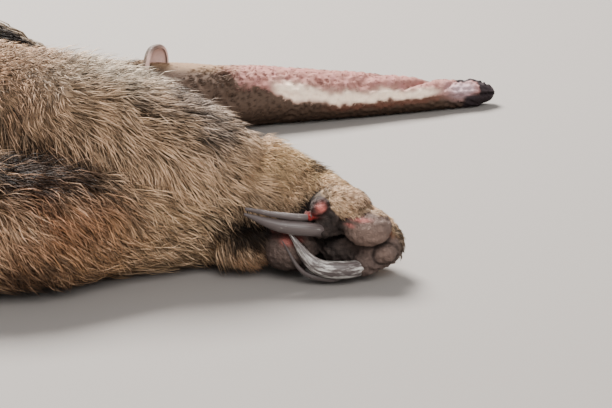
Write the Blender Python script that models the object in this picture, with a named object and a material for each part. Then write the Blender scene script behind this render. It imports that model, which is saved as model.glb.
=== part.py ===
"""Giant anteater, adult, lying on its left side: head to +X, belly to -Y, right side up.

Metres, +Z up, floor at z = 0.  The origin is on the floor under the middle of the trunk, on the
flat where the flank rests.  The trunk, head and tail are one smooth chain of oval sections that
is parted at named stations.  The legs are chains of their own, carved to meet the trunk.
"""

import math
import random

import bmesh
import bpy
import numpy as np
from mathutils import Matrix, Vector
from mathutils.bvhtree import BVHTree

SEED = 13
GAP = 0.0003
CARVE = 0.00045
MERGE = 0.000004
SHARPEST = 3.0
FLOOR_CLEARANCE = 0.0006

# Driving dimensions of the animal
SKULL_LENGTH = 0.365
NOSE_X = 0.800
OCCIPUT_X = NOSE_X - SKULL_LENGTH
NECK_BASE_X = 0.275
TRUNK_LENGTH = 0.73
TAIL_ROOT_X = NECK_BASE_X - TRUNK_LENGTH
TAIL_LENGTH = 0.76
TRUNK_HALF_DEPTH = 0.146
TRUNK_HALF_WIDTH = 0.110
EYE_RADIUS = 0.0070
EYE_RISE = 0.20
EYE_SUNK = 0.72
LID_RADII = (0.0115, 0.0088, 0.0082)
LID_OUT = 0.0012
SLIT_RADII = (0.0068, 0.0028, 0.0050)
SLIT_OUT = 0.0062
SLIT_UP = 0.0004
SKIN_LEVEL = 0.985
EAR_BEHIND_EYE = 0.064
EAR_RADII = (0.017, 0.0105, 0.023)
EAR_ROOT = 0.90
EAR_RISE = 0.0012
EAR_WALL = 0.84
EAR_HOLLOW_OUT = 0.0052
EAR_HOLLOW_DEEPER = 1.05
# Directions of the ear as amounts of the head's sideways, upward and nose directions
EAR_SIDEWAYS = 1.25
EAR_TALL = 0.97
EAR_SWEPT_BACK = 0.18
EAR_FACING = (0.55, 0.9, -0.4)
MOUTH_AHEAD = 0.245
MOUTH_LOW = 0.62
MOUTH_RADII = (0.026, 0.022, 0.0009)
NOSTRIL_AHEAD = 0.268
NOSTRIL_OFFSET = (0.003, 0.0052, 0.0022)
NOSTRIL_RADII = (0.0060, 0.0022, 0.0034)
WRIST_LEFT = Vector((0.550, -0.325, 0.058))
WRIST_RIGHT = Vector((0.120, -0.395, 0.058))
HAND_YAW_RIGHT = math.radians(-40.0)
HIND_CLAW_LENGTH = 0.026
HIND_CLAW_RADII = (0.0044, 0.0036, 0.0007)
HIND_CLAW_SPREAD = 0.62
HIND_CLAW_ARCH = 0.001
HIND_CLAW_DROP = 0.002
OUTER_CLAW_SHORTER = 0.12

COAT_BROWN = (0.12, 0.085, 0.06)
COAT_BUFF = (0.30, 0.21, 0.13)
COAT_BLACK = (0.02, 0.018, 0.016)
SKIN_DARK = (0.09, 0.07, 0.06)
SKIN_PINK = (0.45, 0.24, 0.22)
CLAW_GREY = (0.20, 0.19, 0.18)
EYE_BLACK = (0.01, 0.008, 0.007)

# Stations of the axis chain: name, x, y, z, half depth, half width, roll of the back towards +Z
AXIS = (
    ("nose_end", NOSE_X, 0.1610, 0.0125, 0.0085, 0.0085, 45),
    ("nose", 0.791, 0.1585, 0.0130, 0.0122, 0.0120, 45),
    ("muzzle_tip", 0.766, 0.1500, 0.0140, 0.0138, 0.0132, 45),
    ("muzzle_front", 0.715, 0.1340, 0.0180, 0.0185, 0.0178, 45),
    ("muzzle", 0.675, 0.1225, 0.0215, 0.0222, 0.0212, 45),
    ("cheek", 0.620, 0.1070, 0.0255, 0.0262, 0.0252, 45),
    ("face", 0.570, 0.0940, 0.0290, 0.0298, 0.0284, 45),
    ("eye", 0.536, 0.0850, 0.0300, 0.0314, 0.0298, 45),
    ("brow", 0.508, 0.0780, 0.0322, 0.0342, 0.0318, 45),
    ("ear", 0.473, 0.0675, 0.0345, 0.0366, 0.0338, 42),
    ("occiput", OCCIPUT_X, 0.0560, 0.0365, 0.0385, 0.0358, 35),
    ("neck", 0.385, 0.0440, 0.0430, 0.0455, 0.0428, 25),
    ("throat", 0.340, 0.0330, 0.0540, 0.0590, 0.0530, 18),
    ("neck_base", NECK_BASE_X, 0.0180, 0.0690, 0.0800, 0.0690, 12),
    ("shoulder", 0.190, 0.0000, 0.0900, 0.1180, 0.0910, 4),
    ("chest", 0.090, -0.0100, 0.1030, 0.1420, 0.1070, 0),
    ("waist", 0.020, -0.0110, 0.1050, 0.1450, 0.1095, 0),
    ("middle", -0.070, -0.0110, 0.1055, TRUNK_HALF_DEPTH, TRUNK_HALF_WIDTH, 0),
    ("belly", -0.160, -0.0050, 0.1050, 0.1440, 0.1095, 0),
    ("loin", -0.245, 0.0080, 0.1000, 0.1340, 0.1050, 0),
    ("pelvis", -0.350, 0.0300, 0.0880, 0.1140, 0.0930, 0),
    ("tail_root", TAIL_ROOT_X, 0.0520, 0.0640, 0.0740, 0.0690, 0),
    ("tail_front", -0.560, 0.0600, 0.0500, 0.0760, 0.0535, 0),
    ("tail_half", -0.760, 0.0650, 0.0380, 0.0820, 0.0405, 0),
    ("tail_rear", -0.970, 0.0620, 0.0260, 0.0700, 0.0280, 0),
    ("tail_tip", TAIL_ROOT_X - TAIL_LENGTH, 0.0550, 0.0130, 0.0340, 0.0145, 0),
)

# Nodes of the axis chain: name, first and last station, rings, points round
AXIS_NODES = (
    ("head", "nose_end", "occiput", 16, 16),
    ("neck", "occiput", "neck_base", 5, 14),
    ("chest", "neck_base", "waist", 6, 16),
    ("torso", "waist", "loin", 5, 16),
    ("rump", "loin", "tail_root", 6, 16),
    ("tail_base", "tail_root", "tail_half", 6, 12),
    ("tail_middle", "tail_half", "tail_rear", 4, 10),
    ("tail_end", "tail_rear", "tail_tip", 4, 10),
)

# Leg chains: x, y, z, half size across, half size upward
FORELEG_LEFT = (
    (0.215, -0.030, 0.095, 0.090, 0.085),
    (0.235, -0.120, 0.098, 0.092, 0.086),
    (0.275, -0.215, 0.102, 0.088, 0.080),
    (0.335, -0.285, 0.109, 0.076, 0.075),
    (0.400, -0.305, 0.106, 0.064, 0.073),
    (0.470, -0.315, 0.090, 0.054, 0.070),
    (0.512, -0.320, 0.077, 0.049, 0.064),
    (WRIST_LEFT.x, WRIST_LEFT.y, 0.062, 0.044, 0.057),
)
FRINGE_LEFT = (
    (0.225, -0.255, 0.064, 0.066, 0.062),
    (0.300, -0.386, 0.058, 0.060, 0.058),
    (0.370, -0.400, 0.056, 0.058, 0.056),
    (0.450, -0.360, 0.047, 0.050, 0.048),
    (0.505, -0.332, 0.040, 0.044, 0.041),
    (0.560, -0.312, 0.036, 0.040, 0.037),
)
FORELEG_RIGHT = (
    (0.180, 0.010, 0.128, 0.100, 0.082),
    (0.125, -0.105, 0.158, 0.092, 0.074),
    (0.062, -0.200, 0.152, 0.070, 0.066),
    (0.062, -0.265, 0.125, 0.060, 0.060),
    (0.088, -0.335, 0.088, 0.048, 0.054),
    (WRIST_RIGHT.x, WRIST_RIGHT.y, 0.062, 0.044, 0.057),
)
HINDLEG_LEFT = (
    (-0.300, -0.010, 0.072, 0.090, 0.070),
    (-0.225, -0.110, 0.066, 0.082, 0.064),
    (-0.150, -0.185, 0.058, 0.062, 0.056),
    (-0.150, -0.240, 0.050, 0.050, 0.049),
    (-0.195, -0.290, 0.044, 0.040, 0.043),
    (-0.230, -0.335, 0.038, 0.034, 0.038),
    (-0.222, -0.380, 0.036, 0.028, 0.037),
    (-0.205, -0.425, 0.034, 0.021, 0.035),
)
HINDLEG_RIGHT = (
    (-0.325, 0.010, 0.128, 0.108, 0.080),
    (-0.285, -0.110, 0.162, 0.094, 0.072),
    (-0.258, -0.196, 0.162, 0.068, 0.062),
    (-0.300, -0.250, 0.138, 0.054, 0.054),
    (-0.360, -0.310, 0.104, 0.043, 0.045),
    (-0.405, -0.360, 0.066, 0.034, 0.036),
    (-0.415, -0.410, 0.044, 0.028, 0.034),
    (-0.415, -0.460, 0.034, 0.021, 0.035),
)

# Digits of the left hand, from the wrist centre: x along the hand, -y out of the palm, z to thumb
DIGITS = (
    ((0.055, 0.010, 0.018), (0.098, -0.012, 0.016), (0.104, -0.038, 0.011), (0.074, -0.050, 0.002)),
    ((0.060, 0.008, 0.000), (0.112, -0.012, 0.002), (0.112, -0.040, -0.003), (0.077, -0.050, -0.010)),
    ((0.060, 0.006, -0.014), (0.122, -0.008, -0.012), (0.138, -0.038, -0.032), (0.112, -0.052, -0.046)),
    ((0.060, 0.006, -0.034), (0.106, -0.006, -0.042), (0.116, -0.026, -0.049), (0.098, -0.033, -0.052)),
)
DIGIT_RADII = (0.0105, 0.0125, 0.0195, 0.0085)
DIGIT_SWELL = (1.1, 1.15, 1.0, 0.8)
# Palm of the left hand on the same axes: x, y, z, half size across, half size upward
PALM = (
    (-0.022, 0.000, 0.006, 0.042, 0.054),
    (0.030, 0.004, -0.002, 0.036, 0.050),
    (0.065, 0.006, -0.010, 0.030, 0.043),
    (0.100, 0.000, -0.018, 0.024, 0.034),
    (0.122, -0.006, -0.022, 0.014, 0.022),
)
# Pads of the palm: name, centre, half sizes
PADS = (
    ("heel_pad", (0.056, -0.026, -0.031), (0.031, 0.029, 0.028)),
    ("finger_pad", (0.122, -0.034, -0.014), (0.025, 0.024, 0.021)),
)
# Claws of the left hand: bend point and tip, base radius
CLAWS = (
    ((0.046, -0.055, 0.002), (0.018, -0.051, 0.008), 0.0042),
    ((0.048, -0.056, -0.009), (0.022, -0.053, 0.001), 0.0060),
    ((0.082, -0.056, -0.045), (0.060, -0.054, -0.021), 0.0088),
    ((0.078, -0.037, -0.049), (0.054, -0.038, -0.032), 0.0034),
)
CLAW_STRAIGHT = 0.008
CLAW_SWELL = (1.0, 1.02, 0.8)
CLAW_TIP = 0.0009

COLLECTION = "giant_anteater"

# Locks of the coat: node, rows along it, first and last share of its length, locks in a row,
# first and last angle round the chain, first and last length, width, lean outwards, lean round.
# Angles run from the back at 0 over the right side at 90 to the belly at 180.
TRUNK_LOCKS = (
    ("neck", 3, 0.22, 0.92, 5, -20, 200, 0.045, 0.070, 0.036, 0.05, 0.10),
    ("chest", 4, 0.12, 0.92, 6, -28, 205, 0.085, 0.115, 0.056, 0.08, 0.18),
    ("torso", 4, 0.10, 0.92, 6, -28, 205, 0.115, 0.140, 0.062, 0.08, 0.22),
    ("rump", 4, 0.10, 0.90, 6, -28, 205, 0.140, 0.185, 0.062, 0.12, 0.24),
    ("tail_base", 5, 0.08, 0.94, 5, -18, 198, 0.200, 0.260, 0.066, 0.62, 0.10),
    ("tail_middle", 4, 0.08, 0.94, 5, -18, 198, 0.250, 0.270, 0.066, 0.66, 0.10),
    ("tail_end", 4, 0.08, 0.90, 5, -18, 198, 0.250, 0.220, 0.056, 0.50, 0.10),
)
LIMB_LOCKS = (
    ("upper_arm_left", 3, 0.30, 0.92, 4, 60, 250, 0.065, 0.060, 0.042, 0.08, 0.25),
    ("forearm_left", 5, 0.08, 0.90, 5, 25, 232, 0.062, 0.046, 0.034, 0.06, 0.25),
    ("upper_arm_right", 3, 0.25, 0.92, 4, 20, 220, 0.065, 0.060, 0.042, 0.08, 0.20),
    ("forearm_right", 3, 0.10, 0.86, 4, 20, 250, 0.060, 0.046, 0.034, 0.06, 0.15),
    ("thigh_left", 2, 0.55, 0.90, 3, 20, 180, 0.075, 0.070, 0.042, 0.10, 0.10),
    ("shank_left", 3, 0.10, 0.80, 3, 20, 180, 0.060, 0.045, 0.034, 0.10, 0.10),
    ("thigh_right", 3, 0.30, 0.90, 4, 20, 250, 0.085, 0.070, 0.048, 0.08, 0.10),
    ("shank_right", 3, 0.10, 0.80, 4, 20, 250, 0.060, 0.045, 0.034, 0.08, 0.10),
)
THIN_LOCK = 0.0024
THICKER_WITH_LENGTH = 0.030
MANE = 0.45
LOCK_SPARE = 0.0005
ROOT_DEPTH = 0.006
ROOT_BACK = 0.04
DROOP = 0.16
# Places on a lock's line after its root: share of the length, least rise above the skin in thicknesses
LOCK_STEPS = ((0.36, 1.05), (0.70, 1.10), (1.0, 0.65))
# Half widths and half thicknesses of its three sections, as shares
LOCK_SECTIONS = ((0.50, 0.50), (0.50, 0.46), (0.34, 0.32))
LOCK_TRIES = 4
SHORTER = 0.82
NARROWER = 0.9
HIGHER = 0.12
LOWEST_ROOT = 0.004
RAY_START = 0.6
ABOVE_FLOOR = 0.55
# Lift of a section's four corners above the floor, in thicknesses
CORNER_LIFT = (0.25, 1.0, 0.25, 0.0)
# Ranges of the random draws: thickness, place along, place around, swirl and length
THICKNESS_RANGE = (0.9, 1.1)
ALONG_RANGE = (-0.03, 0.03)
AROUND_RANGE = (-0.15, 0.15)
SWIRL_RANGE = (-0.4, 1.0)
LENGTH_RANGE = (0.85, 1.12)
STAGGER = 0.5
FLATTER_ASIDE = 0.75


def clear_scene():
    """Empties the file, so that the script also runs from the text editor."""
    for item in list(bpy.data.objects):
        bpy.data.objects.remove(item, do_unlink=True)


def make_collection(name):
    collection = bpy.data.collections.new(name)
    bpy.context.scene.collection.children.link(collection)
    return collection


def make_material(name, colour, roughness):
    material = bpy.data.materials.new(name)
    material.use_nodes = True
    shader = material.node_tree.nodes["Principled BSDF"]
    shader.inputs["Base Color"].default_value = (*colour, 1.0)
    shader.inputs["Roughness"].default_value = roughness
    shader.inputs["Metallic"].default_value = 0.0
    return material


def make_object(name, vertices, faces, collection):
    """A mesh object with all its faces turned outwards."""
    mesh = bpy.data.meshes.new(name)
    mesh.from_pydata([tuple(v) for v in vertices], [], faces)
    shell = bmesh.new()
    shell.from_mesh(mesh)
    bmesh.ops.recalc_face_normals(shell, faces=shell.faces)
    shell.to_mesh(mesh)
    shell.free()
    item = bpy.data.objects.new(name, mesh)
    collection.objects.link(item)
    return item


def spline(keys, samples):
    """Smooth values through the rows of keys, at distances along them from 0 to their length."""
    keys = np.asarray(keys, dtype=float)
    steps = np.linalg.norm(np.diff(keys[:, :3], axis=0), axis=1)
    stations = np.concatenate(([0.0], np.cumsum(steps)))
    secants = np.diff(keys, axis=0) / steps[:, None]
    slopes = np.vstack((secants[:1], secants[1:], secants[-1:]))
    weights = steps[1:, None] + steps[:-1, None]
    slopes[1:-1] = (secants[:-1] * steps[1:, None] + secants[1:] * steps[:-1, None]) / weights
    samples = np.asarray(samples, dtype=float)
    cell = np.clip(np.searchsorted(stations, samples, side="right") - 1, 0, len(steps) - 1)
    width = steps[cell][:, None]
    part = (samples[:, None] - stations[cell][:, None]) / width
    square, cube = part ** 2, part ** 3
    start = (2 * cube - 3 * square + 1) * keys[cell] + (cube - 2 * square + part) * slopes[cell] * width
    end = (3 * square - 2 * cube) * keys[cell + 1] + (cube - square) * slopes[cell + 1] * width
    return start + end


def distances(keys):
    keys = np.asarray(keys, dtype=float)
    return np.concatenate(([0.0], np.cumsum(np.linalg.norm(np.diff(keys[:, :3], axis=0), axis=1))))


def ring_frames(keys, samples):
    """Centres, tangents, first and second cross axes and half sizes of oval rings on a chain.

    Rows of keys are x, y, z, first half size, second half size and roll in degrees.  At roll 0
    the first axis is level and the second points up.
    """
    step = 0.002
    total = distances(keys)[-1]
    rows = spline(keys, samples)
    ahead = spline(keys, np.minimum(np.asarray(samples) + step, total))[:, :3]
    behind = spline(keys, np.maximum(np.asarray(samples) - step, 0.0))[:, :3]
    frames = []
    for row, front, back in zip(rows, ahead, behind):
        tangent = Vector(front - back).normalized()
        roll = math.radians(row[5])
        up = Vector((0.0, -math.sin(roll), math.cos(roll)))
        second = (up - tangent * up.dot(tangent)).normalized()
        first = second.cross(tangent).normalized()
        frames.append((Vector(row[:3]), tangent, first, second, row[3], row[4]))
    return frames


def loft(name, frames, points, collection, power=1.0):
    """A closed tube of oval rings with flat ends; a power under 1 squares the ovals a little."""
    vertices = []
    for centre, _, first, second, half_first, half_second in frames:
        for k in range(points):
            angle = math.tau * (k + 0.5) / points
            across = math.copysign(abs(math.cos(angle)) ** power, math.cos(angle))
            upward = math.copysign(abs(math.sin(angle)) ** power, math.sin(angle))
            vertices.append(centre + first * half_first * across + second * half_second * upward)
    faces = []
    for r in range(len(frames) - 1):
        for k in range(points):
            n = (k + 1) % points
            faces.append((r * points + k, r * points + n, (r + 1) * points + n, (r + 1) * points + k))
    faces.append(tuple(range(points)))
    last = (len(frames) - 1) * points
    faces.append(tuple(last + k for k in reversed(range(points))))
    return make_object(name, vertices, faces, collection)


def chain_piece(name, keys, first, last, rings, points, collection):
    """The length of a chain between two of its keys, half a gap short at each end."""
    marks = distances(keys)
    start, end = marks[first] + GAP / 2, marks[last] - GAP / 2
    return loft(name, ring_frames(keys, np.linspace(start, end, rings)), points, collection)


def ellipsoid(name, centre, radii, collection, turn=None, segments=16, rings=10):
    """An ellipsoid on its centre, turned by a rotation matrix."""
    bpy.ops.mesh.primitive_uv_sphere_add(segments=segments, ring_count=rings, radius=1.0)
    item = bpy.context.object
    item.name = name
    for old in list(item.users_collection):
        old.objects.unlink(item)
    collection.objects.link(item)
    turn = turn.to_4x4() if turn else Matrix.Identity(4)
    item.data.transform(Matrix.Translation(centre) @ turn @ Matrix.Diagonal((*radii, 1.0)))
    return item


def combine(item, others, operation, collection, solver="EXACT"):
    """Applies one Boolean of item with the closed meshes in others, and removes those."""
    group = bpy.data.collections.new("operands")
    bpy.context.scene.collection.children.link(group)
    for other in others:
        for old in list(other.users_collection):
            old.objects.unlink(other)
        group.objects.link(other)
    step = item.modifiers.new("join", "BOOLEAN")
    step.operation = operation
    step.operand_type = "COLLECTION"
    step.collection = group
    step.solver = solver
    evaluated = item.evaluated_get(bpy.context.evaluated_depsgraph_get())
    mesh = bpy.data.meshes.new_from_object(evaluated)
    item.modifiers.clear()
    item.data = mesh
    for other in list(group.objects):
        bpy.data.objects.remove(other, do_unlink=True)
    bpy.data.collections.remove(group)
    keep_largest(item, 0.0 if solver == "MANIFOLD" else MERGE)
    return item


def keep_largest(item, merge):
    """Merges the slivers that a Boolean leaves, and keeps only the largest closed surface."""
    shell = bmesh.new()
    shell.from_mesh(item.data)
    if merge:
        bmesh.ops.remove_doubles(shell, verts=shell.verts, dist=merge)
        bmesh.ops.dissolve_degenerate(shell, edges=shell.edges, dist=merge)
    unseen = set(shell.faces)
    groups = []
    while unseen:
        stack = [unseen.pop()]
        group = set(stack)
        while stack:
            for edge in stack.pop().edges:
                for face in edge.link_faces:
                    if face in unseen:
                        unseen.discard(face)
                        group.add(face)
                        stack.append(face)
        groups.append(group)
    if len(groups) > 1:
        keep = max(groups, key=enclosed)
        drop = [face for group in groups if group is not keep for face in group]
        bmesh.ops.delete(shell, geom=drop, context="FACES")
    shell.to_mesh(item.data)
    shell.free()


def enclosed(faces):
    """The volume inside a closed group of faces, from a fan over each."""
    total = 0.0
    for face in faces:
        corners = [v.co for v in face.verts]
        for two, three in zip(corners[1:-1], corners[2:]):
            total += corners[0].dot(two.cross(three)) / 6.0
    return abs(total)


def slab(name, point, normal, collection, size=3.0):
    """A large block whose one face lies on the plane through point, the block on the far side."""
    bpy.ops.mesh.primitive_cube_add(size=size)
    item = bpy.context.object
    item.name = name
    for old in list(item.users_collection):
        old.objects.unlink(item)
    collection.objects.link(item)
    turn = Vector(normal).to_track_quat("Z", "Y").to_matrix().to_4x4()
    item.data.transform(Matrix.Translation(Vector(point) + Vector(normal) * size / 2) @ turn)
    return item


def level_on_floor(item, collection):
    """Cuts off what lies under the floor, which leaves a flat to rest on."""
    if min(v.co.z for v in item.data.vertices) < 0.0:
        combine(item, [slab("floor", (0, 0, 0), (0, 0, -1), collection)], "DIFFERENCE", collection)


def grown_copy(item, collection, amount=CARVE):
    """A copy of a solid whose surface stands out by amount."""
    mesh = item.data.copy()
    shell = bmesh.new()
    shell.from_mesh(mesh)
    shell.normal_update()
    moves = [v.normal * amount * min(v.calc_shell_factor(), SHARPEST) for v in shell.verts]
    for vertex, move in zip(shell.verts, moves):
        vertex.co += move
    shell.to_mesh(mesh)
    shell.free()
    copy = bpy.data.objects.new(item.name + "_grown", mesh)
    collection.objects.link(copy)
    return copy


def bounds(item):
    corners = np.array([v.co for v in item.data.vertices])
    return corners.min(axis=0), corners.max(axis=0)


def near(one, two, margin=0.002):
    low_one, high_one = bounds(one)
    low_two, high_two = bounds(two)
    return bool(np.all(low_one - margin < high_two) and np.all(low_two - margin < high_one))


def carve(item, neighbours, collection, solver="MANIFOLD"):
    """Cuts item back from each neighbour, which leaves the gap that touching pieces keep.

    EXACT loses a limb whose flat end faces another a fraction of the gap away, so the solver here
    is MANIFOLD.
    """
    for other in neighbours:
        if near(item, other):
            combine(item, [grown_copy(other, collection)], "DIFFERENCE", collection, solver)


def axis_index(name):
    return [row[0] for row in AXIS].index(name)


def build_axis(collection):
    """Head, neck, trunk and tail, parted at their stations and levelled on the floor."""
    keys = [row[1:] for row in AXIS]
    nodes = {}
    for name, first, last, rings, points in AXIS_NODES:
        ends = axis_index(first), axis_index(last)
        nodes[name] = chain_piece(name, keys, *ends, rings, points, collection)
        level_on_floor(nodes[name], collection)
    return nodes


def with_roll(rows):
    return [(*row, 0.0) for row in rows]


def build_limb(names, rows, marks, rings, points, collection, lobe=None):
    """The lengths of one leg between the marked keys; lobe adds a lower mass to the same nodes."""
    keys = with_roll(rows)
    stations = distances(keys)
    nodes = []
    for name, first, last, count in zip(names, marks[:-1], marks[1:], rings):
        item = chain_piece(name, keys, first, last, count, points, collection)
        if lobe:
            lobe_keys = with_roll(lobe)
            span = np.linspace(0.0, distances(lobe_keys)[-1], 7)
            lower = loft("lobe", ring_frames(lobe_keys, span), points, collection)
            for mark, side in ((first, -1), (last, 1)):
                centre, tangent = ring_frames(keys, [stations[mark]])[0][:2]
                face = centre - tangent * side * GAP / 2
                combine(lower, [slab("end", face, tangent * side, collection)], "DIFFERENCE", collection)
            combine(item, [lower], "UNION", collection)
        level_on_floor(item, collection)
        nodes.append(item)
    return nodes


def hand_matrix(wrist, yaw, mirrored):
    """Places the left hand's own axes at a wrist; mirrored across its palm for the right hand."""
    flip = Matrix.Diagonal((1.0, -1.0 if mirrored else 1.0, 1.0, 1.0))
    return Matrix.Translation(wrist) @ Matrix.Rotation(yaw, 4, "Z") @ flip


def tube_keys(points, radii):
    return [(*p, r, r, 0.0) for p, r in zip(points, radii)]


def squared_ring(ring, centre, tangent):
    """The same ring on a new centre, turned square to a tangent."""
    second = (ring[3] - tangent * ring[3].dot(tangent)).normalized()
    return (centre, tangent, second.cross(tangent).normalized(), second, ring[4], ring[5])


def build_hand(name, place, claw_names, forearm, collection):
    """Palm, pads and four folded digits in one node, and the claws that lie across the palm."""
    palm_keys = with_roll(PALM)
    span = np.linspace(0.0, distances(palm_keys)[-1], 6)
    palm = loft(name, ring_frames(palm_keys, span), 12, collection)
    pads = [ellipsoid(pad, Vector(centre), radii, collection, segments=10, rings=7)
            for pad, centre, radii in PADS]
    claws = []
    for number, (path, radius) in enumerate(zip(DIGITS, DIGIT_RADII)):
        keys = tube_keys(path, [radius * swell for swell in DIGIT_SWELL])
        rings = ring_frames(keys, np.linspace(0.0, distances(keys)[-1], 6))
        pads.append(loft("digit", rings, 7, collection))
        end, tangent = rings[-1][0], rings[-1][1]
        bend, tip, base_radius = CLAWS[number]
        base = end + tangent * GAP
        claw_path = (base, base + tangent * CLAW_STRAIGHT, Vector(bend), Vector(tip))
        claw_keys = tube_keys(claw_path, (*(base_radius * swell for swell in CLAW_SWELL), CLAW_TIP))
        claw_rings = ring_frames(claw_keys, np.linspace(0.0, distances(claw_keys)[-1], 6))
        claw_rings[0] = squared_ring(claw_rings[0], base, tangent)
        claws.append(loft(claw_names[number], claw_rings, 7, collection))
    combine(palm, pads, "UNION", collection)
    carve(palm, claws, collection)
    for item in (palm, *claws):
        item.data.transform(place)
        if place.determinant() < 0.0:
            item.data.flip_normals()
        level_on_floor(item, collection)
    carve(palm, [forearm], collection)
    return palm, claws


def build_hind_claws(name, rows, collection):
    """Five short claws side by side on the flat end of a hind foot."""
    keys = with_roll(rows)
    centre, tangent, _, upward, _, half_up = ring_frames(keys, [distances(keys)[-1]])[0]
    claws = []
    for number in range(5):
        rise = half_up * HIND_CLAW_SPREAD * (number - 2) / 2
        reach = HIND_CLAW_LENGTH * (1.0 - OUTER_CLAW_SHORTER * abs(number - 2))
        base = centre + upward * rise + tangent * GAP / 2
        tip = base + tangent * reach - upward * HIND_CLAW_DROP
        path = (base, base + tangent * reach / 2 + upward * HIND_CLAW_ARCH, tip)
        claw_keys = tube_keys(path, HIND_CLAW_RADII)
        rings = ring_frames(claw_keys, np.linspace(0.0, distances(claw_keys)[-1], 4))
        rings[0] = squared_ring(rings[0], base, tangent)
        item = loft("%s_%d" % (name, number + 1), rings, 6, collection)
        level_on_floor(item, collection)
        claws.append(item)
    return claws


def head_frame(distance_from_eye):
    """Centre, nose direction, back-of-head direction, right direction and half sizes of the head."""
    keys = [row[1:] for row in AXIS]
    mark = distances(keys)[axis_index("eye")] - distance_from_eye
    centre, tangent, first, second, half_first, half_second = ring_frames(keys, [mark])[0]
    dorsal = first if first.y > 0.0 else -first
    return centre, -tangent, dorsal, second, half_first, half_second


def build_eye(side, collection):
    """The eyeball of one side, with the cutters of its socket and of the slit between the lids."""
    centre, nose, dorsal, right, _, half_right = head_frame(0.0)
    outward = (right * side * math.cos(EYE_RISE) + dorsal * math.sin(EYE_RISE)).normalized()
    ball_centre = centre + outward * (half_right * SKIN_LEVEL - EYE_RADIUS * EYE_SUNK)
    name = "eye_right" if side > 0 else "eye_left"
    ball = ellipsoid(name, ball_centre, (EYE_RADIUS,) * 3, collection, segments=10, rings=6)
    upward = (dorsal - outward * dorsal.dot(outward)).normalized()
    turn = Matrix((nose, outward.cross(nose), outward)).transposed()
    lids = ellipsoid("lids", ball_centre + outward * LID_OUT, LID_RADII, collection, turn, 14, 8)
    socket = ellipsoid("socket", ball_centre, (EYE_RADIUS + GAP,) * 3, collection, segments=10, rings=6)
    slit_centre = ball_centre + outward * SLIT_OUT + upward * SLIT_UP
    slit = ellipsoid("slit", slit_centre, SLIT_RADII, collection, turn, 12, 6)
    combine(socket, [slit], "UNION", collection)
    return ball, lids, socket


def build_ear(side, collection):
    """A small round ear: an ellipsoid hollowed from the front, so that it stands as a cup."""
    centre, nose, dorsal, right, _, half_right = head_frame(-EAR_BEHIND_EYE)
    outward = (right * side * EAR_SIDEWAYS + dorsal).normalized()
    upward = (outward * EAR_TALL - nose * EAR_SWEPT_BACK).normalized()
    ahead, aside, above = EAR_FACING
    facing = nose * ahead + right * side * aside + dorsal * above
    facing = (facing - upward * facing.dot(upward)).normalized()
    turn = Matrix((facing.cross(upward), facing, upward)).transposed()
    middle = centre + outward * (half_right * EAR_ROOT + EAR_RISE)
    name = "ear_right" if side > 0 else "ear_left"
    ear = ellipsoid(name, middle, EAR_RADII, collection, turn, 11, 7)
    wide, deep, tall = EAR_RADII
    hollow_radii = (wide * EAR_WALL, deep * EAR_HOLLOW_DEEPER, tall * EAR_WALL)
    hollow = ellipsoid("hollow", middle + facing * EAR_HOLLOW_OUT, hollow_radii, collection, turn, 11, 7)
    combine(ear, [hollow], "DIFFERENCE", collection)
    return ear


def build_mouth(collection):
    """The cutter of the mouth line and those of the two nostrils."""
    cutters = []
    centre, nose, dorsal, right, half_dorsal, _ = head_frame(MOUTH_AHEAD)
    turn = Matrix((nose, right, dorsal)).transposed()
    low = centre - dorsal * half_dorsal * MOUTH_LOW
    cutters.append(ellipsoid("mouth", low, MOUTH_RADII, collection, turn, 20, 8))
    tip, nose, dorsal, right, _, _ = head_frame(NOSTRIL_AHEAD)
    turn = Matrix((nose, right, dorsal)).transposed()
    ahead, aside, above = NOSTRIL_OFFSET
    for side in (-1, 1):
        place = tip + nose * ahead + right * side * aside + dorsal * above
        cutters.append(ellipsoid("nostril", place, NOSTRIL_RADII, collection, turn, 10, 6))
    return cutters


def finish_head(head, collection):
    """Adds the lids, cuts the sockets, mouth line and nostrils, and returns eyes and ears."""
    eyes, lids, cutters = [], [], []
    for side in (1, -1):
        ball, lid, holes = build_eye(side, collection)
        eyes.append(ball)
        lids.append(lid)
        cutters.append(holes)
    combine(head, lids, "UNION", collection)
    level_on_floor(head, collection)
    ears = [build_ear(side, collection) for side in (1, -1)]
    for ear in ears:
        carve(ear, [head], collection)
        level_on_floor(ear, collection)
    for cutter in cutters + build_mouth(collection):
        combine(head, [cutter], "DIFFERENCE", collection)
    return eyes + ears


def surface_tree(item):
    """The search tree of a solid's surface."""
    mesh = item.data
    mesh.calc_loop_triangles()
    points = [v.co.copy() for v in mesh.vertices]
    return BVHTree.FromPolygons(points, [tuple(t.vertices) for t in mesh.loop_triangles])


def joined_tree(items):
    """One search tree over the surfaces of several solids."""
    points, faces = [], []
    for item in items:
        item.data.calc_loop_triangles()
        base = len(points)
        points.extend(v.co.copy() for v in item.data.vertices)
        faces.extend(tuple(base + k for k in t.vertices) for t in item.data.loop_triangles)
    return BVHTree.FromPolygons(points, faces)


def lock_line(root, normal, flow, length, thickness, skin):
    """Centre, heading and normal at the root, two places on the way and the tip of a lock.

    The lock leaves the skin at its root, droops a little, and is pushed out wherever it would
    sink into the body or the floor.
    """
    heading = flow.normalized()
    line = [(root - normal * ROOT_DEPTH - heading * length * ROOT_BACK, heading, normal)]
    place, travelled = root.copy(), 0.0
    for share, rise in LOCK_STEPS:
        heading = (heading + Vector((0.0, 0.0, -DROOP))).normalized()
        place = place + heading * length * (share - travelled)
        travelled = share
        close, close_normal, _, gap = skin.find_nearest(place)
        if (place - close).dot(close_normal) < thickness * rise:
            place = close + close_normal * thickness * rise
            normal = close_normal.copy()
        place.z = max(place.z, FLOOR_CLEARANCE + thickness * ABOVE_FLOOR)
        heading = (place - line[-1][0]).normalized()
        line.append((place, heading, normal))
    return line


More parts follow.
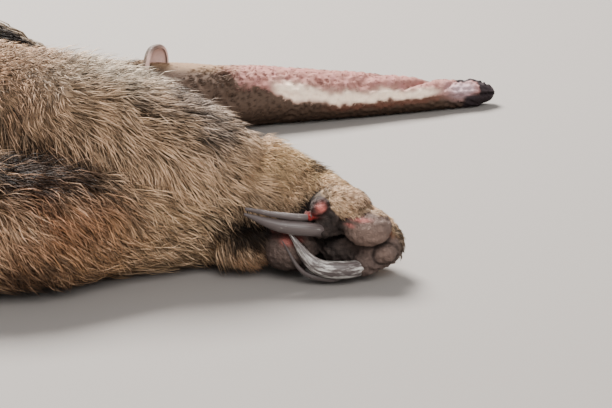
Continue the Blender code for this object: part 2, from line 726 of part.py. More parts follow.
def lock_mesh(line, width, thickness, spare):
    """Corners and faces of a flat lock with four-sided sections along its line and a point."""
    points = []
    for (place, heading, normal), (wide, thick) in zip(line[:-1], LOCK_SECTIONS):
        side = heading.cross(normal).normalized()
        over = side.cross(heading).normalized()
        half_width, half_thick = width * wide + spare, thickness * thick + spare
        corners = (side * half_width, over * half_thick, side * -half_width, over * -half_thick)
        for corner, lift in zip(corners, CORNER_LIFT):
            point = place + corner
            point.z = max(point.z, FLOOR_CLEARANCE - spare + lift * thickness * wide)
            points.append(point)
    points.append(line[-1][0] + line[-1][1] * spare)
    faces = [(0, 1, 2), (0, 2, 3)]
    for r in range(2):
        for k in range(4):
            a, b = r * 4 + k, r * 4 + (k + 1) % 4
            faces.extend(((a, b, b + 4), (a, b + 4, a + 4)))
    faces.extend((8 + k, 8 + (k + 1) % 4, 12) for k in range(4))
    return points, faces


def place_lock(draw, root, normal, flow, length, width, skin, others):
    """A lock that keeps clear of the other nodes, shortened and lifted if it has to be."""
    thickness = (THIN_LOCK + THICKER_WITH_LENGTH * length) * draw.uniform(*THICKNESS_RANGE)
    for _ in range(LOCK_TRIES):
        line = lock_line(root, normal, flow, length, thickness, skin)
        points, faces = lock_mesh(line, width, thickness, LOCK_SPARE)
        tree = BVHTree.FromPolygons(points, faces)
        if not any(tree.overlap(other) for other in others):
            return lock_mesh(line, width, thickness, 0.0)
        length *= SHORTER
        width *= NARROWER
        flow = flow + normal * HIGHER
    return None


def add_locks(item, keys, marks, spec, skin, others, collection, reverse, mane=0.0):
    """Rows of locks over one node of a chain, fused into it by one union."""
    _, rows, first, last, per_row, angle_one, angle_two, long_one, long_two, width, out, swirl = spec
    draw = random.Random(SEED + len(item.name) * 7 + rows)
    stations = distances(keys)
    start, end = stations[marks[0]], stations[marks[1]]
    own = surface_tree(item)
    pieces = []
    for row in range(rows):
        share = first + (last - first) * row / max(rows - 1, 1)
        for column in range(per_row):
            along = start + (end - start) * (share + draw.uniform(*ALONG_RANGE))
            centre, tangent, level, second, _, _ = ring_frames(keys, [along])[0]
            stagger = STAGGER * (row % 2 - 0.5)
            turn = (column + stagger + draw.uniform(*AROUND_RANGE)) / (per_row - 1)
            angle = math.radians(angle_one + (angle_two - angle_one) * turn)
            back = level * reverse
            radial = back * math.cos(angle) + second * math.sin(angle)
            around = second * math.cos(angle) - back * math.sin(angle)
            hit, normal, _, _ = own.ray_cast(centre + radial * RAY_START, -radial)
            if hit is None or hit.z < LOWEST_ROOT:
                continue
            lean = out * (1.0 - FLATTER_ASIDE * abs(math.sin(angle)))
            flow = tangent + radial * lean + around * swirl * draw.uniform(*SWIRL_RANGE)
            length = long_one + (long_two - long_one) * share
            length *= draw.uniform(*LENGTH_RANGE) * (1.0 + mane * max(0.0, math.cos(angle)) ** 2)
            made = place_lock(draw, hit, normal, flow.normalized(), length, width, skin, others)
            if made:
                pieces.append(make_object("lock", made[0], made[1], collection))
    combine(item, pieces, "UNION", collection, "MANIFOLD")


def colour_nodes(nodes):
    """One material for each node, by what the node is made of."""
    for item in nodes:
        name = item.name
        if name.startswith("claw") or "_claw_" in name:
            colour, roughness = CLAW_GREY, 0.45
        elif name.startswith("eye"):
            colour, roughness = EYE_BLACK, 0.1
        elif name.startswith("ear") or name == "head":
            colour, roughness = SKIN_PINK if name != "head" else SKIN_DARK, 0.6
        elif "fore" in name or "upper_arm" in name:
            colour, roughness = COAT_BUFF, 0.8
        elif name.startswith(("thigh", "shank", "hind")):
            colour, roughness = COAT_BLACK, 0.8
        else:
            colour, roughness = COAT_BROWN, 0.8
        item.data.materials.clear()
        item.data.materials.append(make_material("finish_" + name, colour, roughness))


def add_coat(axis, limbs, solids, collection):
    """Locks over the trunk, tail and legs, each node clear of all the others."""
    skin = joined_tree(solids)
    trees = {item.name: surface_tree(item) for item in solids}
    keys = [row[1:] for row in AXIS]
    ends = {name: (axis_index(first), axis_index(last)) for name, first, last, _, _ in AXIS_NODES}
    for spec in TRUNK_LOCKS:
        item = axis[spec[0]]
        others = [tree for name, tree in trees.items() if name != item.name]
        mane = 0.0 if item.name.startswith("tail") else MANE
        add_locks(item, keys, ends[item.name], spec, skin, others, collection, -1.0, mane)
        trees[item.name] = surface_tree(item)
    chains = {
        "upper_arm_left": (FORELEG_LEFT, (0, 3)), "forearm_left": (FORELEG_LEFT, (3, 7)),
        "upper_arm_right": (FORELEG_RIGHT, (0, 2)), "forearm_right": (FORELEG_RIGHT, (2, 5)),
        "thigh_left": (HINDLEG_LEFT, (0, 2)), "shank_left": (HINDLEG_LEFT, (2, 5)),
        "thigh_right": (HINDLEG_RIGHT, (0, 2)), "shank_right": (HINDLEG_RIGHT, (2, 5)),
    }
    by_name = {item.name: item for item in limbs}
    for spec in LIMB_LOCKS:
        item = by_name[spec[0]]
        rows, marks = chains[item.name]
        others = [tree for name, tree in trees.items() if name != item.name]
        add_locks(item, with_roll(rows), marks, spec, skin, others, collection, 1.0)
        trees[item.name] = surface_tree(item)


def build():
    clear_scene()
    collection = make_collection(COLLECTION)
    axis = build_axis(collection)
    trunk = [axis[name] for name in ("chest", "torso", "rump", "neck")]
    fore_left = build_limb(("upper_arm_left", "forearm_left"), FORELEG_LEFT, (0, 3, 7), (5, 7), 12,
                           collection, FRINGE_LEFT)
    fore_right = build_limb(("upper_arm_right", "forearm_right"), FORELEG_RIGHT, (0, 2, 5), (5, 6), 12,
                            collection)
    hind_names = ("thigh_%s", "shank_%s", "hind_foot_%s")
    hind_left = build_limb([n % "left" for n in hind_names], HINDLEG_LEFT, (0, 2, 5, 7), (5, 5, 4), 12,
                           collection)
    hind_right = build_limb([n % "right" for n in hind_names], HINDLEG_RIGHT, (0, 2, 5, 7), (5, 5, 4),
                            12, collection)
    limbs = [*fore_left, *fore_right, *hind_left, *hind_right]
    for number, limb in enumerate(limbs):
        carve(limb, trunk + limbs[:number], collection)
    claw_names = ["claw_%s_fore_" + str(number) for number in (1, 2, 3, 4)]
    hands = []
    sides = (("left", WRIST_LEFT, 0.0, fore_left[1]), ("right", WRIST_RIGHT, HAND_YAW_RIGHT, fore_right[1]))
    for side, wrist, yaw, forearm in sides:
        names = [name % side for name in claw_names]
        place = hand_matrix(wrist, yaw, side == "right")
        palm, claws = build_hand("forepaw_" + side, place, names, forearm, collection)
        hands.extend((palm, *claws))
    hind_claws = build_hind_claws("hind_claw_left", HINDLEG_LEFT, collection)
    hind_claws += build_hind_claws("hind_claw_right", HINDLEG_RIGHT, collection)
    face = finish_head(axis["head"], collection)
    solids = [*axis.values(), *limbs, *hands, *hind_claws, *face]
    add_coat(axis, limbs, solids, collection)
    colour_nodes(solids)


build()
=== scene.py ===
# %% [markdown]
# # A giant anteater, lying on its left side
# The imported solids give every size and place. This lesson dresses them: one skin over all the
# flesh, claws, eyes and ears as pieces of their own, and a coat of solid mesh tufts.

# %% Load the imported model
import math

import bmesh
import bpy
import numpy as np
from mathutils.kdtree import KDTree
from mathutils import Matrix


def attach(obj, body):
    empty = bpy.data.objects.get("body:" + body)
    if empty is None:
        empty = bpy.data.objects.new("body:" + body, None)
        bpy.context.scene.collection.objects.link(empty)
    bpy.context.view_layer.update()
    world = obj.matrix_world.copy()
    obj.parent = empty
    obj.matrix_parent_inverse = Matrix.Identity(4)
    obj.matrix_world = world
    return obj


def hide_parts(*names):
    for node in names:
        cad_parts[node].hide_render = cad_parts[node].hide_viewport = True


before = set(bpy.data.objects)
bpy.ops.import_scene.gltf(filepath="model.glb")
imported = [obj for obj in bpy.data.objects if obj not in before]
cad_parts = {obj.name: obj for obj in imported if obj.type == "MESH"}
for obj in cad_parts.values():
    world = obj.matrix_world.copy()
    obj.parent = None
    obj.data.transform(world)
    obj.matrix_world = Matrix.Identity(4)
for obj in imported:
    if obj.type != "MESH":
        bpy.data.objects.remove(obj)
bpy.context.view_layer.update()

BODY = "root"
SIDES = ("left", "right")

# %% [markdown]
# ## Camera, floor and light
# A long lens from low in front flattens the animal, as when one kneels a few metres away. The floor
# is a plain sheet. One large soft lamp stands behind and above, so that the hair tips catch a bright
# rim, and a weaker one fills the side towards the viewer.

# %% Set up camera, floor and light
VIEW_TILT = math.radians(18.0)
CAMERA_PLACE = (0.62, -2.83, 0.8674)
CAMERA_LENS = 183.5
CAMERA_SENSOR = 36.0
FLOOR_HALF = 9.0
FLOOR_COLOUR = (0.23, 0.214, 0.202)
FLOOR_ROUGHNESS = 0.9
SKY_COLOUR = (1.0, 0.985, 0.97)
SKY_STRENGTH = 0.54
LAMP_AIM = (0.40, -0.2, 0.05)
# Lamps: name, place, size, power, colour
LAMPS = (
    ("back_lamp", (-0.3, 1.3, 2.3), 1.2, 410.0, (1.0, 0.96, 0.91)),
    ("fill_lamp", (1.2, -2.6, 2.4), 2.4, 114.0, (1.0, 0.97, 0.94)),
)


def linked(name, data):
    """An object of that data, linked into the scene at the origin."""
    item = bpy.data.objects.new(name, data)
    bpy.context.scene.collection.objects.link(item)
    return item


camera_data = bpy.data.cameras.new("viewer")
camera_data.lens = CAMERA_LENS
camera_data.sensor_width = CAMERA_SENSOR
camera = linked("viewer", camera_data)
camera.location = CAMERA_PLACE
camera.rotation_euler = (math.pi / 2 - VIEW_TILT, 0.0, 0.0)
bpy.context.scene.camera = camera


def area_lamp(name, place, size, power, colour):
    """A square soft lamp at a place, turned towards the shared aim."""
    data = bpy.data.lights.new(name, "AREA")
    data.shape = "SQUARE"
    data.size = size
    data.energy = power
    data.color = colour
    lamp = linked(name, data)
    lamp.location = place
    away = np.array(place) - np.array(LAMP_AIM)
    across = math.hypot(away[0], away[1])
    lamp.rotation_euler = (math.atan2(across, away[2]), 0.0, math.atan2(away[0], -away[1]))
    return lamp


for lamp_row in LAMPS:
    area_lamp(*lamp_row)

world = bpy.data.worlds.new("soft_sky")
world.use_nodes = True
sky = world.node_tree.nodes["Background"].inputs
sky["Color"].default_value = (*SKY_COLOUR, 1.0)
sky["Strength"].default_value = SKY_STRENGTH
bpy.context.scene.world = world

floor_mesh = bpy.data.meshes.new("floor")
floor_corners = [(x * FLOOR_HALF, y * FLOOR_HALF, 0.0) for x, y in ((-1, -1), (1, -1), (1, 1), (-1, 1))]
floor_mesh.from_pydata(floor_corners, [], [(0, 1, 2, 3)])
floor = linked("floor", floor_mesh)
floor_paint = bpy.data.materials.new("floor_paint")
floor_paint.use_nodes = True
floor_finish = floor_paint.node_tree.nodes["Principled BSDF"].inputs
floor_finish["Base Color"].default_value = (*FLOOR_COLOUR, 1.0)
floor_finish["Roughness"].default_value = FLOOR_ROUGHNESS
floor_mesh.materials.append(floor_paint)
print("camera", tuple(round(c, 3) for c in camera.location), "lens", camera_data.lens)

# %% [markdown]
# ## Chains of oval rings
# The flesh of a lying animal is made of long tapering forms: one from nose to tail tip, one for each
# leg. Each is a chain of oval rings on a smooth line, as in the solids. The same chain later tells
# how far along the animal a hair grows, and on which side of it.

# %% Smooth lines and rings as whole arrays


def unit(vectors):
    """Each row divided by its length."""
    return vectors / np.maximum(np.linalg.norm(vectors, axis=-1, keepdims=True), 1e-12)


def dot(one, two):
    """The dot product of each pair of rows, as a column."""
    return (one * two).sum(axis=-1, keepdims=True)


def spline(keys, samples):
    """Smooth values through the rows of keys at distances along them.

    Between two rows it is the cubic that has their values and slopes, where a slope is the mean of
    the secants on both sides, weighted by the length of the opposite one.
    """
    steps = np.linalg.norm(np.diff(keys[:, :3], axis=0), axis=1)
    marks = np.concatenate(([0.0], np.cumsum(steps)))
    secants = np.diff(keys, axis=0) / steps[:, None]
    slopes = np.vstack((secants[:1], secants[1:], secants[-1:]))
    weights = steps[1:, None] + steps[:-1, None]
    slopes[1:-1] = (secants[:-1] * steps[1:, None] + secants[1:] * steps[:-1, None]) / weights
    cell = np.clip(np.searchsorted(marks, samples, side="right") - 1, 0, len(steps) - 1)
    width = steps[cell][:, None]
    part = (samples[:, None] - marks[cell][:, None]) / width
    square, cube = part ** 2, part ** 3
    start = (2 * cube - 3 * square + 1) * keys[cell] + (cube - 2 * square + part) * slopes[cell] * width
    end = (3 * square - 2 * cube) * keys[cell + 1] + (cube - square) * slopes[cell + 1] * width
    return start + end


def key_marks(keys):
    """The distance of each key from the first, along the straight lines between them."""
    return np.concatenate(([0.0], np.cumsum(np.linalg.norm(np.diff(keys[:, :3], axis=0), axis=1))))


def rings_of(keys, samples):
    """Centre, tangent, level axis, upward axis, both half sizes of the rings at these distances.

    The upward axis is +Z rolled about X by the row's roll, made square to the tangent, and the level
    axis is the cross product of the upward axis and the tangent.
    """
    step = 0.002
    total = key_marks(keys)[-1]
    rows = spline(keys, samples)
    ahead = spline(keys, np.minimum(samples + step, total))[:, :3]
    behind = spline(keys, np.maximum(samples - step, 0.0))[:, :3]
    tangent = unit(ahead - behind)
    roll = np.radians(rows[:, 5])
    up = np.stack((np.zeros_like(roll), -np.sin(roll), np.cos(roll)), axis=1)
    upward = unit(up - tangent * dot(up, tangent))
    level = unit(np.cross(upward, tangent))
    return rows[:, :3], tangent, level, upward, rows[:, 3:4], rows[:, 4:5]


def tube_points(keys, rings, points, caps=(0.0, 0.0), cap_rings=5):
    """Rings of points on a chain, with a rounded cap of so many half sizes at each end.

    A ring is centre + level a cos t + upward b sin t. In a cap the ring moves on by the sine of an
    angle from 0 to 90 degrees while it shrinks by the cosine.
    """
    total = key_marks(keys)[-1]
    samples = np.linspace(0.0, total, rings)
    turn = np.linspace(0.0, math.pi / 2, cap_rings + 1)[1:]
    shrink, push, place = np.ones(rings), np.zeros(rings), samples
    if caps[0] > 0.0:
        shrink = np.concatenate((np.cos(turn[::-1]), shrink))
        push = np.concatenate((-np.sin(turn[::-1]) * caps[0], push))
        place = np.concatenate((np.zeros(cap_rings), place))
    if caps[1] > 0.0:
        shrink = np.concatenate((shrink, np.cos(turn)))
        push = np.concatenate((push, np.sin(turn) * caps[1]))
        place = np.concatenate((place, np.full(cap_rings, total)))
    centre, tangent, level, upward, half_level, half_up = rings_of(keys, place)
    size = (half_level + half_up) / 2
    centre = centre + tangent * size * push[:, None]
    around = np.linspace(0.0, math.tau, points, endpoint=False)
    across = level[:, None] * (half_level * shrink[:, None])[:, None] * np.cos(around)[None, :, None]
    rising = upward[:, None] * (half_up * shrink[:, None])[:, None] * np.sin(around)[None, :, None]
    return centre[:, None] + across + rising


def tube_faces(rings, points):
    """Quads between neighbouring rings, and a fan of triangles on a middle point at each end."""
    row = np.arange(rings - 1)[:, None] * points
    here = np.arange(points)[None]
    following = (here + 1) % points
    quads = np.stack((row + here, row + following, row + points + following, row + points + here), axis=-1)
    first, last = rings * points, rings * points + 1
    one, two = np.arange(points), (np.arange(points) + 1) % points
    start = np.stack((np.full(points, first), two, one), axis=-1)
    end = np.stack((np.full(points, last), (rings - 1) * points + one, (rings - 1) * points + two), axis=-1)
    return quads.reshape(-1, 4), np.vstack((start, end))


def closed_tube(grid):
    """Points, quads and triangles of a grid of rings, closed at both ends by a middle point."""
    rings, points = grid.shape[:2]
    ends = np.stack((grid[0].mean(axis=0), grid[-1].mean(axis=0)))
    quads, triangles = tube_faces(rings, points)
    return np.vstack((grid.reshape(-1, 3), ends)), quads, triangles


def ellipsoid(centre, radii, axes=np.eye(3), rings=24, points=32):
    """Points and faces of an ellipsoid: centre + axes (rx cos p cos t, ry cos p sin t, rz sin p)."""
    tilt = np.linspace(-math.pi / 2, math.pi / 2, rings + 2)[1:-1, None]
    around = np.linspace(0.0, math.tau, points, endpoint=False)[None]
    local = np.stack((np.cos(tilt) * np.cos(around), np.cos(tilt) * np.sin(around),
                      np.sin(tilt) * np.ones_like(around)), axis=-1) * np.array(radii)
    return closed_tube(np.array(centre) + local @ np.array(axes))


def joined(parts):
    """Several sets of points, quads and triangles as one."""
    counts = np.cumsum([0] + [len(p[0]) for p in parts[:-1]])
    quads = np.vstack([p[1] + c for p, c in zip(parts, counts)])
    triangles = np.vstack([p[2] + c for p, c in zip(parts, counts)])
    return np.vstack([p[0] for p in parts]), quads, triangles


def signed_volume(points, quads, triangles):
    """The volume inside the faces, negative where they point inwards."""
    faces = np.vstack((triangles, quads[:, [0, 1, 2]], quads[:, [0, 2, 3]]))
    a, b, c = points[faces[:, 0]], points[faces[:, 1]], points[faces[:, 2]]
    return float((a * np.cross(b, c)).sum() / 6.0)


def mesh_of(name, points, quads, triangles):
    """A smooth shaded mesh of these arrays, with its faces pointing outwards."""
    if signed_volume(points, quads, triangles) < 0.0:
        quads, triangles = quads[:, ::-1], triangles[:, ::-1]
    mesh = bpy.data.meshes.new(name)
    corners = np.concatenate((quads.ravel(), triangles.ravel())).astype(np.int32)
    sizes = np.concatenate((np.full(len(quads), 4), np.full(len(triangles), 3)))
    starts = np.concatenate(([0], np.cumsum(sizes)[:-1])).astype(np.int32)
    mesh.vertices.add(len(points))
    mesh.vertices.foreach_set("co", np.ascontiguousarray(points, dtype=np.float32).ravel())
    mesh.loops.add(len(corners))
    mesh.loops.foreach_set("vertex_index", corners)
    mesh.polygons.add(len(sizes))
    mesh.polygons.foreach_set("loop_start", starts)
    mesh.polygons.foreach_set("use_smooth", np.ones(len(sizes), dtype=bool))
    mesh.update(calc_edges=True)
    return mesh


# %% [markdown]
# ## The animal's stations
# Each row is x, y, z of the middle, the half depth from back to belly, the half width from side to
# side, the roll of the right side away from straight up, and the depth of coat between the skin and
# the outline of the solids. The coat's depth is taken off both half sizes, so the skin lies inside.

# %% List the stations of head, trunk, tail and legs
AXIS_ROWS = (
    ("nose_end", 0.800, 0.1610, 0.0125, 0.0085, 0.0085, 45, 0.0000),
    ("nose", 0.791, 0.1585, 0.0130, 0.0122, 0.0120, 45, 0.0000),
    ("muzzle_tip", 0.766, 0.1500, 0.0140, 0.0138, 0.0132, 45, 0.0002),
    ("muzzle_front", 0.715, 0.1340, 0.0180, 0.0185, 0.0178, 45, 0.0004),
    ("muzzle", 0.675, 0.1225, 0.0215, 0.0222, 0.0212, 45, 0.0005),
    ("cheek", 0.620, 0.1070, 0.0255, 0.0262, 0.0252, 45, 0.0007),
    ("face", 0.570, 0.0940, 0.0290, 0.0298, 0.0284, 45, 0.0010),
    ("eye", 0.536, 0.0850, 0.0300, 0.0314, 0.0298, 45, 0.0010),
    ("brow", 0.508, 0.0780, 0.0322, 0.0342, 0.0318, 45, 0.0014),
    ("ear", 0.473, 0.0675, 0.0345, 0.0366, 0.0338, 42, 0.0020),
    ("occiput", 0.435, 0.0560, 0.0365, 0.0385, 0.0358, 35, 0.0030),
    ("neck", 0.385, 0.0440, 0.0430, 0.0455, 0.0428, 25, 0.0090),
    ("throat", 0.340, 0.0330, 0.0540, 0.0590, 0.0530, 18, 0.0090),
    ("neck_base", 0.275, 0.0180, 0.0690, 0.0800, 0.0690, 12, 0.0060),
    ("shoulder", 0.190, 0.0000, 0.0900, 0.1180, 0.0910, 4, 0.0080),
    ("chest", 0.090, -0.0100, 0.1030, 0.1420, 0.1070, 0, 0.0120),
    ("waist", 0.020, -0.0110, 0.1050, 0.1450, 0.1095, 0, 0.0130),
    ("middle", -0.070, -0.0110, 0.1055, 0.1460, 0.1100, 0, 0.0140),
    ("belly", -0.160, -0.0050, 0.1050, 0.1440, 0.1095, 0, 0.0140),
    ("loin", -0.245, 0.0080, 0.1000, 0.1340, 0.1050, 0, 0.0140),
    ("pelvis", -0.350, 0.0300, 0.0880, 0.1140, 0.0930, 0, 0.0140),
    ("tail_root", -0.455, 0.0520, 0.0640, 0.0740, 0.0690, 0, 0.0140),
    ("tail_front", -0.560, 0.0600, 0.0500, 0.0560, 0.0480, 0, 0.0140),
    ("tail_half", -0.760, 0.0650, 0.0380, 0.0440, 0.0370, 0, 0.0120),
    ("tail_rear", -0.970, 0.0620, 0.0260, 0.0320, 0.0260, 0, 0.0100),
    ("tail_tip", -1.215, 0.0550, 0.0150, 0.0160, 0.0140, 0, 0.0060),
)
STATIONS = {row[0]: mark for row, mark in
            zip(AXIS_ROWS, key_marks(np.array([row[1:4] for row in AXIS_ROWS])))}


def by_station(along, pairs):
    """Values between named stations of the axis, at distances along it."""
    return np.interp(along, [STATIONS[name] for name, _ in pairs], [value for _, value in pairs])


WRIST_LEFT = (0.550, -0.325, 0.058)
WRIST_RIGHT = (0.120, -0.395, 0.058)
# Legs: x, y, z, half size across, half size upward, depth of coat
FORELEG_LEFT = (
    (0.215, -0.030, 0.095, 0.090, 0.085, 0.008),
    (0.235, -0.120, 0.098, 0.092, 0.086, 0.007),
    (0.275, -0.215, 0.102, 0.088, 0.080, 0.005),
    (0.335, -0.285, 0.109, 0.076, 0.075, 0.004),
    (0.400, -0.305, 0.106, 0.064, 0.073, 0.004),
    (0.470, -0.315, 0.090, 0.054, 0.070, 0.004),
    (0.512, -0.320, 0.077, 0.049, 0.064, 0.003),
    (*WRIST_LEFT[:2], 0.062, 0.044, 0.057, 0.003),
)
FRINGE_LEFT = (
    (0.225, -0.255, 0.064, 0.066, 0.062, 0.014),
    (0.300, -0.386, 0.058, 0.060, 0.058, 0.014),
    (0.370, -0.400, 0.056, 0.058, 0.056, 0.014),
    (0.450, -0.360, 0.047, 0.050, 0.048, 0.009),
    (0.505, -0.332, 0.040, 0.044, 0.041, 0.005),
    (0.560, -0.312, 0.036, 0.040, 0.037, 0.004),
)
FORELEG_RIGHT = (
    (0.180, 0.010, 0.128, 0.100, 0.082, 0.012),
    (0.125, -0.105, 0.158, 0.092, 0.074, 0.012),
    (0.062, -0.200, 0.152, 0.070, 0.066, 0.011),
    (0.062, -0.265, 0.125, 0.060, 0.060, 0.010),
    (0.088, -0.335, 0.088, 0.048, 0.054, 0.008),
    (*WRIST_RIGHT[:2], 0.062, 0.044, 0.057, 0.005),
)
HINDLEG_LEFT = (
    (-0.300, -0.010, 0.072, 0.090, 0.070, 0.012),
    (-0.225, -0.110, 0.066, 0.082, 0.064, 0.012),
    (-0.150, -0.185, 0.058, 0.062, 0.056, 0.010),
    (-0.150, -0.240, 0.050, 0.050, 0.049, 0.009),
    (-0.195, -0.290, 0.044, 0.040, 0.043, 0.006),
    (-0.230, -0.335, 0.038, 0.034, 0.038, 0.003),
    (-0.222, -0.380, 0.036, 0.028, 0.037, 0.002),
    (-0.205, -0.425, 0.034, 0.021, 0.035, 0.001),
)
HINDLEG_RIGHT = (
    (-0.325, 0.010, 0.128, 0.108, 0.080, 0.012),
    (-0.285, -0.110, 0.162, 0.094, 0.072, 0.012),
    (-0.258, -0.196, 0.162, 0.068, 0.062, 0.010),
    (-0.300, -0.250, 0.138, 0.054, 0.054, 0.009),
    (-0.360, -0.310, 0.104, 0.043, 0.045, 0.006),
    (-0.405, -0.360, 0.066, 0.034, 0.036, 0.003),
    (-0.415, -0.410, 0.044, 0.028, 0.034, 0.002),
    (-0.415, -0.460, 0.034, 0.021, 0.035, 0.001),
)


def make_chain(rows, count=160):
    """The skin's keys of a chain, and its rings at evenly spaced marks for later look-ups."""
    rows = np.array(rows, dtype=float)
    keys = np.column_stack((rows[:, :3], rows[:, 3:5] - rows[:, 6:7], rows[:, 5]))
    marks = np.linspace(0.0, key_marks(keys)[-1], count)
    centre, tangent, level, upward, half_level, half_up = rings_of(keys, marks)
    return {"keys": keys, "marks": marks, "centre": centre, "tangent": tangent, "level": level,
            "upward": upward, "half_level": half_level, "half_up": half_up}


def leg_chain(rows):
    """A chain without roll, from rows that end in the coat's depth."""
    return make_chain([(*row[:5], 0.0, row[5]) for row in rows])


CHAINS = {
    "axis": make_chain([row[1:] for row in AXIS_ROWS], 420),
    "foreleg_left": leg_chain(FORELEG_LEFT),
    "fringe_left": leg_chain(FRINGE_LEFT),
    "foreleg_right": leg_chain(FORELEG_RIGHT),
    "hindleg_left": leg_chain(HINDLEG_LEFT),
    "hindleg_right": leg_chain(HINDLEG_RIGHT),
}
print("chains", {name: round(float(c["marks"][-1]), 3) for name, c in CHAINS.items()})

# %% [markdown]
# ## The hand
# An anteater walks on the side of its fist, with the long claws folded over the palm. Here the palm
# faces the viewer: four digits curl round from the back of the hand, and each ends in a claw that
# lies across the palm. The places are in the hand's own axes: x along it, -y out of the palm and z
# towards the thumb, so that the same rows serve both hands.

# %% List the hand's forms
HAND_YAW_RIGHT = math.radians(-40.0)
MIRROR = (1.0, -1.0, 1.0)
# Palm: x, y, z, half size across, half size upward
PALM_ROWS = (
    (-0.040, 0.004, 0.004, 0.036, 0.048),
    (-0.010, 0.002, 0.004, 0.034, 0.048),
    (0.030, 0.004, -0.002, 0.033, 0.048),
    (0.065, 0.006, -0.012, 0.028, 0.040),
    (0.100, 0.000, -0.022, 0.024, 0.033),
    (0.122, -0.006, -0.027, 0.016, 0.022),
)
# Digits: four places each, from the back of the hand round to the end, and the radius at each
DIGITS = (
    ((0.055, 0.010, 0.010), (0.088, -0.008, 0.010), (0.096, -0.032, 0.006), (0.0715, -0.0495, 0.0006)),
    ((0.060, 0.008, -0.004), (0.105, -0.010, -0.004), (0.106, -0.030, -0.008), (0.082, -0.045, -0.0125)),
    ((0.060, 0.006, -0.016), (0.118, -0.008, -0.020), (0.138, -0.030, -0.032), (0.116, -0.044, -0.0440)),
    ((0.060, 0.006, -0.034), (0.106, -0.006, -0.040), (0.118, -0.024, -0.046), (0.100, -0.036, -0.0490)),
)
DIGIT_RADII = (
    (0.0100, 0.0110, 0.0080, 0.0044),
    (0.0120, 0.0130, 0.0100, 0.0080),
    (0.0180, 0.0170, 0.0140, 0.0100),
    (0.0090, 0.0090, 0.0080, 0.0050),
)
# Claws: base, bend and tip, the radius, and the share of it that is left at the tip
CLAWS = (
    ((0.0700, -0.0515, 0.0008), (0.046, -0.0545, 0.0040), (0.020, -0.0510, 0.0080), 0.0031, 0.55),
    ((0.0750, -0.0530, -0.0090), (0.047, -0.0560, -0.0045), (0.019, -0.0515, 0.0035), 0.0064, 0.22),
    ((0.1080, -0.0520, -0.0440), (0.0800, -0.0580, -0.0395), (0.0560, -0.0540, -0.0120), 0.0082, 0.14),
    ((0.0960, -0.0520, -0.0525), (0.0700, -0.0560, -0.0470), (0.0500, -0.0540, -0.0190), 0.0026, 0.16),
)
# Pads, and the flesh that joins them: middle and half sizes
PADS = {
    "heel": ((0.057, -0.029, -0.031), (0.0235, 0.0250, 0.0230)),
    "finger": ((0.1215, -0.037, -0.0145), (0.0225, 0.0200, 0.0155)),
    "small": ((0.1370, -0.037, -0.0340), (0.0110, 0.0130, 0.0100)),
    "thumb": ((0.0815, -0.043, 0.0068), (0.0080, 0.0085, 0.0078)),
}
FLESHY = {
    "wrist": ((0.015, -0.018, -0.031), (0.029, 0.024, 0.020)),
    "bridge": ((0.098, -0.026, 0.001), (0.026, 0.022, 0.017)),
    "hollow": ((0.088, -0.016, -0.028), (0.034, 0.014, 0.024)),
    "knuckle": ((0.093, -0.040, -0.004), (0.010, 0.010, 0.013)),
    "fold": ((0.098, -0.033, -0.035), (0.015, 0.011, 0.011)),
}


def turned(points, angle):
    """Points turned about Z."""
    c, s = math.cos(angle), math.sin(angle)
    return points @ np.array(((c, s, 0.0), (-s, c, 0.0), (0.0, 0.0, 1.0)))


def hand_places(points, side):
    """Points of the left hand's axes in the row frame; the right hand is mirrored and turned."""
    points = np.array(points, dtype=float)
    if side == "left":
        return points + np.array(WRIST_LEFT)
    return turned(points * np.array(MIRROR), HAND_YAW_RIGHT) + np.array(WRIST_RIGHT)


def hand_local(points, side):
    """The way back from the row frame to the hand's own axes."""
    if side == "left":
        return points - np.array(WRIST_LEFT)
    return turned(points - np.array(WRIST_RIGHT), -HAND_YAW_RIGHT) * np.array(MIRROR)


def tube_rows(points, radii, flatten=1.0):
    """Keys of a round tube through points, with one radius each; flatten squeezes it upwards."""
    points, radii = np.array(points), np.array(radii)
    return np.column_stack((points, radii * flatten, radii, np.zeros(len(radii))))


def hand_parts(side):
    """Palm, digits and pads of one hand as closed surfaces that run into each other."""
    palm = np.array([(*row, 0.0) for row in PALM_ROWS])
    parts = [closed_tube(tube_points(palm, 40, 40, caps=(0.0, 0.9)))]
    for path, radii in zip(DIGITS, DIGIT_RADII):
        keys = tube_rows(path, radii)
        parts.append(closed_tube(tube_points(keys, 30, 24, caps=(0.6, 0.8))))
    for centre, radii in (*PADS.values(), *FLESHY.values()):
        parts.append(ellipsoid(centre, radii))
    return [(hand_places(p, side), q, t) for p, q, t in parts]


print("hand parts", len(hand_parts("left")))

# %% [markdown]
# ## One skin
# The lofted forms overlap, so they are fused into one closed surface by a voxel remesh, which works
# like a very fine plaster cast of them all, and then smoothed, so that a leg grows out of the trunk
# with no seam. Hair will hide most of the trunk, so its part of the mesh is thinned, while head and
# hands keep their fine faces.

# %% Fuse the flesh into one surface
SKIN_VOXEL = 0.0020
SKIN_FLOOR = 0.0012
SKIN_SMOOTHING = 3
SKIN_TRIANGLES = 126000
LID_BULGE = (0.0125, 0.0095, 0.0082)
LID_FORWARD = 0.0004
# Tubes of the flesh: rings, points round, and the length of both caps in half sizes
FLESH_TUBES = {
    "axis": (420, 96, (0.9, 1.0)),
    "foreleg_left": (90, 72, (0.5, 0.4)),
    "fringe_left": (90, 64, (0.5, 0.5)),
    "foreleg_right": (90, 72, (0.5, 0.4)),
    "hindleg_left": (110, 64, (0.5, 0.6)),
    "hindleg_right": (110, 64, (0.5, 0.6)),
}


